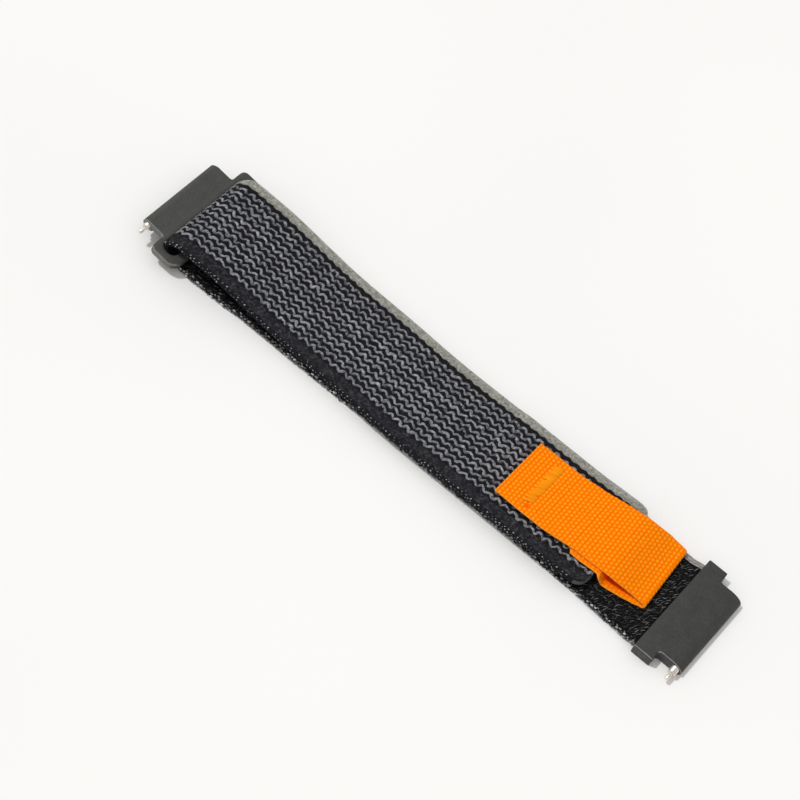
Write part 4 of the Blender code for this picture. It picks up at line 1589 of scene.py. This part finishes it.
@dataclass
class PullTab:
    """Folded orange webbing sewn on the flap, with its woven relief."""

    back_x: float = 0.02075
    fold_x: float = 0.0578
    lower_z: float = 0.00429
    upper_z: float = 0.00486
    landed_z: float = 0.0020
    fold_height: float = 0.00070
    fold_steps: int = 24
    drop_start: float = 0.0466
    drop_length: float = 0.0020
    hump: float = 0.00006
    thick: float = 0.00056
    width: float = 0.0162
    rib: float = 0.00086
    across_pitch: float = 0.00100
    relief: float = 0.00010
    row_fullness: float = 0.8
    float_share: tuple = (0.3, 0.7)
    rim: float = 0.00014
    rim_shown: float = 0.2
    step: float = 0.000155
    line_step: float = 0.0001
    inner_share: float = 0.65
    sewn_x: float = 0.02897
    hinge: tuple = (-0.0005, 0.0020)
    skew: float = 0.068
    skew_start: float = 0.030
    middle_y: float = 0.0027
    # Place of a needle's dimple beside the seam, its reach, and its depth in reliefs. The dimple also dims
    # the weave to painted shade.
    dimple: tuple = (0.02770, -0.00560, 0.0005, 1.5)
    # Place of the tack that pulls the tab down, its reach along and across, and its depth.
    pulled: tuple = (0.02715, 0.0006, 0.0014, 0.0056, 0.00016)
    # Where the inner face turns dark with painted shade deep in the fold, from its near edge.
    deep: tuple = (0.0010, 0.0008)
    # Tones of the outer and inner face: painted shade in the weave's hollows and a painted highlight on its
    # floats; the inner tone's last number is the painted shade deep in the fold.
    outer_tone: tuple = (0.10, 0.76)
    inner_tone: tuple = (0.20, 0.55, 0.03)
    upper_far: tuple = (
        (0.0207, 0.0081), (0.0242, 0.0083), (0.0317, 0.0083), (0.0347, 0.0087), (0.0377, 0.0090),
        (0.0410, 0.0096), (0.0440, 0.0101), (0.0472, 0.0105), (0.0502, 0.0110), (0.0532, 0.0117),
        (0.0560, 0.0118), (0.0590, 0.0116),
    )
    upper_near: tuple = (
        (0.0207, -0.0076), (0.0330, -0.00755), (0.0360, -0.00718), (0.0391, -0.0067), (0.0406, -0.0065),
        (0.0441, -0.0064), (0.0481, -0.00615), (0.0506, -0.0058), (0.0529, -0.0053), (0.0546, -0.0050),
        (0.0572, -0.0049), (0.0590, -0.0049),
    )
    lower_far: tuple = (
        (0.0207, 0.0081), (0.0317, 0.0083), (0.0377, 0.0088), (0.0440, 0.0097), (0.0516, 0.0106),
        (0.0572, 0.0114), (0.0590, 0.0116),
    )
    lower_near: tuple = (
        (0.0207, -0.0070), (0.0330, -0.0070), (0.0360, -0.0066), (0.0389, -0.0063), (0.0396, -0.0066),
        (0.0401, -0.0074), (0.0424, -0.00745), (0.0459, -0.00715), (0.0466, -0.0072), (0.0472, -0.0075),
        (0.0483, -0.00725), (0.0495, -0.0071), (0.0519, -0.00664), (0.0530, -0.00644), (0.0542, -0.00608),
        (0.0554, -0.00586), (0.0566, -0.00542), (0.0590, -0.0050),
    )

    def middle_line(self) -> tuple[Points, np.ndarray]:
        """Line of the folded tab from its lower layer's end round to its upper layer's end.

        Returns:
            Points along X and Z, and a share that is 0 on the lower layer and 1 on the upper one.
        """
        radius = self.fold_height / 2
        front = self.fold_x - radius - self.thick / 2
        low_x = np.arange(self.back_x, front, self.line_step)
        drop = ease((low_x - self.drop_start) / self.drop_length)
        low_z = self.lower_z + (self.landed_z - self.lower_z) * drop
        turn = np.linspace(-np.pi / 2, np.pi / 2, self.fold_steps)
        fold_x = front + radius * np.cos(turn)
        fold_z = self.landed_z + radius + radius * np.sin(turn)
        up_x = low_x[::-1]
        top = self.landed_z + self.fold_height
        up_z = top + (self.upper_z - top) * ease((front - up_x) / (front - self.drop_start))
        up_z = up_z + self.hump * np.sin(np.pi * np.clip((front - up_x) / (front - self.sewn_x), 0, 1))
        all_x = np.concatenate([low_x, fold_x[1:-1], up_x])
        all_z = np.concatenate([low_z, fold_z[1:-1], up_z])
        layer = np.concatenate([np.zeros(len(low_x)), np.linspace(0, 1, len(fold_x) - 2), np.ones(len(up_x))])
        return np.stack([all_x, all_z], 1), layer

    def weave(self, along: np.ndarray, across: np.ndarray) -> np.ndarray:
        """Plain weave: rows of short floats, each row moved on by half a float.

        Args:
            along: Distances along the cloth.
            across: Distances across it.

        Returns:
            Its relief, 0 to 1.
        """
        row = np.floor(along / self.rib)
        from_middle = along / self.rib - row - 0.5
        from_float = across / self.across_pitch + 0.5 * (row % 2)
        from_float = from_float - np.floor(from_float) - 0.5
        low, rise = self.float_share
        return np.cos(np.pi * from_middle) ** self.row_fullness * (low + rise * np.cos(np.pi * from_float))

    def shown(self, woven: np.ndarray, dent: np.ndarray, outside: np.ndarray, deep: np.ndarray) -> np.ndarray:
        """Brightness of the weave on the outer and on the inner face: painted highlight on the floats,
        painted shade in the hollows, in the dimple and deep in the fold.

        Args:
            woven: Relief of the weave, 0 to 1.
            dent: Depth of the dimple, 0 to 1.
            outside: True on the outer face.
            deep: How far inside the fold a place is, 0 to 1.

        Returns:
            Brightness, 0 to 1.
        """
        low, rise = self.outer_tone
        inner_low, inner_rise, inner_deep = self.inner_tone
        inner = (inner_low + inner_rise * woven) * (1 - deep) + inner_deep * deep
        return np.where(outside, low + rise * woven * (1 - dent), inner)

    def build(self) -> Piece:
        """Make the folded tab.

        Returns:
            One closed piece.
        """
        line, layer = self.middle_line()
        run, heading = lengths(line), headings(line)
        outer = int(self.width / self.step)
        inner = int(self.width / self.step * self.inner_share)
        count = outer + inner + 2
        kept = {}

        def place(u: np.ndarray, v: np.ndarray) -> np.ndarray:
            """Place corners along the folded line and round the cloth."""
            s = u * run[-1]
            index = np.rint(v * count).astype(int) % count
            outside = index <= outer
            share = np.where(outside, index / outer, 1 - (index - outer - 1) / inner)
            x, z, up = (np.interp(s, run, values) for values in (line[:, 0], line[:, 1], layer))
            go_x, go_z = (np.interp(s, run, heading[:, axis]) for axis in (0, 1))
            far = listed(x, self.lower_far) * (1 - up) + listed(x, self.upper_far) * up
            near = listed(x, self.lower_near) * (1 - up) + listed(x, self.upper_near) * up
            y = near + (far - near) * share
            turned = ease((x - self.skew_start) / (self.fold_x - self.skew_start))
            along = x - self.skew * (y - self.middle_y) * turned
            woven = self.weave(s, share * self.width)
            tack_x, tack_y, pull_x, pull_y, pull_depth = self.pulled
            pull = np.exp(-((x - tack_x) / pull_x) ** 2) * ease(2 - np.abs(y - tack_y) / pull_y) * up
            dent_x, dent_y, dent_reach, dent_depth = self.dimple
            dent = np.exp(-((x - dent_x) ** 2 + (y - dent_y) ** 2) / dent_reach**2) * up * outside
            rim = np.clip(np.minimum(share, 1 - share) * self.width / self.rim, 0, 1)
            ends = np.clip(np.minimum(s, run[-1] - s) / self.rim, 0, 1)
            half = self.thick / 2 * np.sqrt(rim * ends)
            rise = half + self.relief * (woven - 0.5) * rim * ends - self.relief * dent_depth * dent
            height = np.where(outside, pull_depth * pull - rise, rise)
            # Painted shade deep in the fold, from the inner face's near edge.
            deep = ease((share * self.width - self.deep[0]) / self.deep[1])
            kept["relief"] = np.where(rim < self.rim_shown, 1.0, self.shown(woven, dent, outside, deep))
            return np.stack([along - go_z * height, y, z + go_x * height], 1)

        piece = formed("pull_tab_cloth", int(run[-1] / self.step), count, place)
        note(piece, "relief", kept["relief"])
        piece = smoothed(sealed(piece), angle_deg=180)
        Wardrobe.wear(piece, ORANGE_CLOTH)
        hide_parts("pull_tab", "tab_sewn_end")
        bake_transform(piece)
        return piece


@dataclass
class BarTack:
    """Dense row of slanted stitches that holds the tab."""

    middle: tuple = (0.02725, 0.00075, 0.00508)
    length: float = 0.0106
    width: float = 0.0025
    stitches: int = 46
    thread: float = 0.00046
    rise: float = 0.00018
    lean_deg: float = 24.0
    lean_spread_deg: float = 4.0
    stray_x: float = 0.00012
    stray_z: float = 0.00002
    size_spread: float = 0.04
    tone: tuple = (0.3, 0.7)
    # The stitch's thickness at its ends, what its middle adds, and how soon.
    taper: tuple = (0.35, 0.65, 0.3)
    # How far its middle rises, how soon, and how deep the whole is sunk.
    arch: tuple = (1.8, 0.4, 1.2)

    def strand(self) -> Piece:
        """Make one flattened stitch as a low arch of thread along X.

        Returns:
            The stitch, 1 long, with its ends sunk.
        """

        def place(u: np.ndarray, v: np.ndarray) -> np.ndarray:
            """Place corners along and round the thread."""
            turn = 2 * np.pi * v
            arch = np.sin(np.pi * u)
            thin, more, power = self.taper
            rise, rise_power, sunk = self.arch
            taper = thin + more * arch**power
            height = np.sin(turn) * taper + rise * arch**rise_power - sunk
            return np.stack([u - 0.5, np.cos(turn) * taper, height], 1)

        return formed("strand", columns=10, rows=8, place=place)

    def build(self) -> Piece:
        """Make the tack.

        Returns:
            One piece that holds all stitches.
        """
        rng = np.random.default_rng(SEED + 30)
        count = self.stitches
        y = np.linspace(-0.5, 0.5, count) * self.length
        x = rng.normal(0, self.stray_x, count)
        places = np.stack([x, y, rng.normal(0, self.stray_z, count)], 1) + np.array(self.middle)
        grown = rng.normal(1, self.size_spread, (count, 1))
        sizes = np.tile([self.width, self.thread / 2, self.rise], (count, 1)) * grown
        turns = turned_flat(np.radians(rng.normal(self.lean_deg, self.lean_spread_deg, count)), sizes)
        bright = rng.uniform(*self.tone, count)
        piece = smoothed(scattered("tab_tack_stitches", self.strand(), places, turns, bright), angle_deg=80)
        Wardrobe.wear(piece, TACK_THREAD)
        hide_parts("tab_bar_tack")
        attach(piece, Ride.FLAP.value)
        return piece


@dataclass
class HookTape:
    """Tape of small hooks under the flap's tip."""

    start_x: float = 0.0160
    end_x: float = 0.0452
    half_width: float = 0.0114
    floor: float = -0.00053
    half_thick: float = 0.00010
    rim: float = 0.0001
    pitch: float = 0.0011
    hook: float = 0.00032
    stem_share: float = 0.4
    stem_height: float = 0.7
    curl_radius: float = 0.3
    wire_radius: float = 0.16
    turn_spread: float = 0.15
    tape_tone: float = 0.1
    # How much squarer than an ellipse the tape's section is, across and in height.
    square: tuple = (1.4, 3.0)

    def stem(self) -> Piece:
        """Make one hook: a stem that curls over at its end.

        Returns:
            The hook, with its foot at 0 and its end pointing down.
        """

        def place(u: np.ndarray, v: np.ndarray) -> np.ndarray:
            """Place corners along and round the wire."""
            turn = 2 * np.pi * v
            bend = np.clip(u - self.stem_share, 0, 1) / (1 - self.stem_share) * np.pi
            straight = u < self.stem_share
            x = np.where(straight, 0.0, self.curl_radius * (1 - np.cos(bend)))
            curled = self.stem_height + self.curl_radius * np.sin(bend)
            z = np.where(straight, u / self.stem_share * self.stem_height, curled)
            out = np.cos(turn) * self.wire_radius
            y = np.sin(turn) * self.wire_radius
            return np.stack([x + out * np.cos(bend), y, z + out * np.sin(bend)], 1)

        return formed("hook", columns=6, rows=4, place=place)

    def build(self, path: StrapPath) -> Piece:
        """Make the tape with its hooks.

        Args:
            path: Line that it follows.

        Returns:
            One piece that holds both.
        """
        rng = np.random.default_rng(SEED + 30)
        tape_run = Run("hook_ground", path, path.at_x(self.start_x), path.at_x(self.end_x))
        along = np.arange(tape_run.start + self.pitch / 2, tape_run.end, self.pitch)
        across = np.arange(-self.half_width + self.pitch / 2, self.half_width, self.pitch)
        s, y = (grid.ravel() for grid in np.meshgrid(along, across, indexing="ij"))
        count = len(s)
        places = np.stack([s, y, np.full(count, self.floor)], 1)
        sizes = np.full((count, 3), self.hook)
        sizes[:, 2] *= -1
        angles = np.where(np.arange(count) % 2 == 0, 0.0, np.pi) + rng.normal(0, self.turn_spread, count)
        hooks = scattered("hook_field", self.stem(), places, turned_flat(angles, sizes), rng.random(count))
        put(hooks, path.lay(corners(hooks)))

        def place(u: np.ndarray, v: np.ndarray) -> np.ndarray:
            """Place corners along and round the tape."""
            turn = 2 * np.pi * v
            ends = np.clip(np.minimum(u, 1 - u) * tape_run.length / self.rim, 0, 1)
            wide, high = self.square
            y_at = self.half_width * np.clip(np.cos(turn) * wide, -1, 1)
            h_at = self.floor + self.half_thick * np.clip(np.sin(turn) * high, -1, 1) * ends
            return path.lay(np.stack([tape_run.at(u), y_at, h_at], 1))

        tape = sealed(formed(tape_run.name, columns=60, rows=32, place=place))
        note(tape, "tone", np.full(len(tape.data.vertices), self.tape_tone))
        piece = smoothed(joined("hook_tape_field", [tape, hooks]), angle_deg=50)
        Wardrobe.wear(piece, HOOK_YARN)
        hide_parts("hook_patch")
        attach(piece, Ride.FLAP.value)
        return piece


@dataclass
class NodeCopy:
    """A part of the frame that is copied with its own mesh and dressed in the copy."""

    node: str
    piece_name: str
    slot: Slot
    smooth_deg: float = 30.0
    reach: float = 1e-6

    def copied(self, frame: dict) -> Piece:
        """Copy the frame's node, merge its loose corners and smooth it.

        Args:
            frame: The loaded frame.

        Returns:
            The copy, without a finish.
        """
        only(frame["nodes"][self.node])
        bpy.ops.object.duplicate()
        piece = named(bpy.context.object, self.piece_name)
        for key in list(piece.keys()):
            del piece[key]
        piece.parent = None
        smoothed(sealed(piece, self.reach), self.smooth_deg)
        return piece


@dataclass
class CoatedPart(NodeCopy):
    """A coated metal part: plain coat, bright edges at its near end that are partly wear and partly a painted
    highlight, and a near end face lightened with painted reflected light under streaky scuffs.
    """

    smooth_deg: float = 25.0
    ride: Ride = Ride.STRAP
    coat: CoatingFinish = CONNECTOR_COAT
    # Bright near edges: partly wear, partly a painted highlight.
    worn: CoatingFinish = CONNECTOR_EDGE_WEAR_AND_HIGHLIGHT
    # Near end face: painted reflected light.
    end: CoatingFinish = CONNECTOR_END_REFLECTION
    tilt_deg: float = 0.0
    near_y: float = -0.0100
    # How squarely a face has to look to the near side to be an end face with painted reflected light, or else
    # a bright edge of wear and painted highlight.
    end_facing: float = 0.9
    edge_facing: float = 0.2
    edge_up: tuple = (0.2, 0.97)

    def build(self, frame: dict) -> Piece:
        """Make the piece that stands for the frame's node.

        Args:
            frame: The loaded frame.

        Returns:
            The dressed piece.
        """
        piece = self.copied(frame)
        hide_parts(self.node)
        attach(piece, self.ride.value)
        Wardrobe.wear(piece, self.coat, self.worn, self.end)
        tilt = math.radians(self.tilt_deg)
        top = Vector((math.sin(tilt), 0, math.cos(tilt)))
        low, high = self.edge_up
        # On the near side, end faces take the painted reflected light, and up-facing edges the wear and
        # painted highlight.
        for face in piece.data.polygons:
            if face.center.y > self.near_y:
                continue
            if face.normal.y < -self.end_facing:
                face.material_index = 2
            elif face.normal.y < -self.edge_facing and low < face.normal.dot(top) < high:
                face.material_index = 1
        return piece


@dataclass
class SpringBar:
    """One spring bar with its tips, its knob and its spring."""

    place: str
    carrier: Ride
    plain: Ride
    release: Ride
    travel: float = 0.0017

    def build_turned(self, frame: dict) -> list[Piece]:
        """Copy the tube, tips and knob in bright steel.

        Args:
            frame: The loaded frame.

        Returns:
            The copied pieces.
        """
        parts = (
            ("bar_tube", "tube_steel", self.carrier),
            ("plain_tip", "plain_tip_steel", self.plain),
            ("release_tip", "release_tip_steel", self.release),
            ("release_knob", "release_knob_steel", self.release),
        )
        made = []
        for part, name, body in parts:
            node = f"{self.place}_{part}"
            piece = NodeCopy(node, f"{self.place}_{name}", Slot.BAR).copied(frame)
            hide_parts(node)
            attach(piece, body.value)
            made.append(Wardrobe.wear(piece, BAR_STEEL))
        return made

    def build_spring(self, frame: dict) -> list[Piece]:
        """Copy the spring as two halves.

        Args:
            frame: The loaded frame.

        Returns:
            The near and the far half.
        """
        node = f"{self.place}_bar_spring"
        halves = [NodeCopy(node, f"{node}_{end}", Slot.SPRING).copied(frame) for end in ("near", "far")]
        low, high = corners(halves[0]).min(0), corners(halves[0]).max(0)
        middle = tuple((low + high) / 2)
        for piece, side, motion in zip(halves, (-1, 1), ("plain_press", "release_pull")):
            normal = (0, side, 0)
            edited(piece, lambda: bpy.ops.mesh.bisect(
                plane_co=middle, plane_no=normal, use_fill=True, clear_inner=True
            ))
            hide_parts(node)
            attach(piece, self.carrier.value)
            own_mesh(piece)
            Wardrobe.wear(piece, SPRING_STEEL)
        return halves


@dataclass
class Studio:
    """Camera, table and lamps."""

    azimuth_deg: float = 22.053
    elevation_deg: float = 56.178
    roll_deg: float = 20.764
    distance: float = 0.479203
    target: tuple = (-0.00735, -0.002231, 0.0)
    focal: float = 2336.28 / 800
    sensor_mm: float = 36.0
    nearest: float = 0.01
    table_half: float = 2.0
    key_turn_deg: float = 203.0
    key_height_deg: float = 59.0
    key_power: float = 1.45
    key_spread_deg: float = 5.0
    sky: float = 0.61

    def build_camera(self) -> None:
        """Add the camera at the photograph's viewing angle."""
        azimuth, elevation = math.radians(self.azimuth_deg), math.radians(self.elevation_deg)
        level = math.cos(elevation)
        back = Vector((math.sin(azimuth) * level, -math.cos(azimuth) * level, math.sin(elevation)))
        right = (-back).cross(Vector((0, 0, 1))).normalized()
        upright = Matrix((right, right.cross(-back), back)).transposed()
        rolled = (upright @ Matrix.Rotation(math.radians(self.roll_deg), 3, "Z")).to_4x4()
        bpy.ops.object.camera_add()
        camera = bpy.context.object
        camera.data.lens = self.focal * self.sensor_mm
        camera.data.sensor_width = self.sensor_mm
        camera.data.clip_start = self.nearest
        camera.matrix_world = Matrix.Translation(Vector(self.target) + back * self.distance) @ rolled
        bpy.context.scene.camera = camera

    def build_table(self) -> None:
        """Add the pale table top."""
        bpy.ops.object.select_all(action="DESELECT")
        bpy.ops.mesh.primitive_grid_add(x_subdivisions=8, y_subdivisions=8, size=2 * self.table_half)
        table = bpy.context.object
        table.name = "table"
        Wardrobe.wear(table, TABLE)

    def build_lamps(self) -> None:
        """Add a soft key lamp and an even pale surround."""
        turn, height = math.radians(self.key_turn_deg), math.radians(self.key_height_deg)
        level = math.cos(height)
        toward = Vector((math.cos(turn) * level, math.sin(turn) * level, math.sin(height)))
        bpy.ops.object.light_add(type="SUN")
        key = bpy.context.object
        key.name = "key_lamp"
        key.data.energy = self.key_power
        key.data.angle = math.radians(self.key_spread_deg)
        key.rotation_euler = toward.to_track_quat("Z", "Y").to_euler()
        world = bpy.data.worlds.new("studio")
        bpy.context.scene.world = world
        world.use_nodes = True
        world.node_tree.nodes["Background"].inputs["Color"].default_value = (1, 1, 1, 1)
        world.node_tree.nodes["Background"].inputs["Strength"].default_value = self.sky

    def build(self) -> None:
        """Add everything round the object."""
        self.build_camera()
        self.build_table()
        self.build_lamps()
        bpy.context.scene.view_settings.view_transform = "Standard"


def main() -> None:
    """Build the looks round the frame, piece by piece."""
    logging.basicConfig(level=logging.INFO, format="%(name)s: %(message)s")
    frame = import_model()
    Studio().build()
    strap = Strap()
    made = strap.build_flap() + strap.build_base()
    made += [PullTab().build(), BarTack().build(), HookTape().build(strap.path)]
    buckle = CoatedPart(
        "ring_buckle", "buckle_frame", Slot.BUCKLE,
        ride=Ride.BUCKLE, coat=BUCKLE_COAT, worn=BUCKLE_EDGE_WEAR_AND_HIGHLIGHT, end=BUCKLE_END_REFLECTION, tilt_deg=8.5,
    )
    connector = CoatedPart("fixed_connector", "connector_frame", Slot.CONNECTOR)
    made += [buckle.build(frame), connector.build(frame)]
    for name in ("grip_pin_1", "grip_pin_2", "grip_pin_3"):
        Wardrobe.wear(frame["nodes"][name], PIN_STEEL)
    bars = (
        SpringBar("buckle", Ride.BUCKLE, Ride.BUCKLE_PLAIN, Ride.BUCKLE_RELEASE),
        SpringBar("fixed", Ride.STRAP, Ride.FIXED_PLAIN, Ride.FIXED_RELEASE),
    )
    for bar in bars:
        made += bar.build_turned(frame)
    for bar in bars:
        made += bar.build_spring(frame)
    for piece in made:
        LOG.info("%s has %d faces", piece.name, len(piece.data.polygons))


if __name__ == "__main__":
    main()
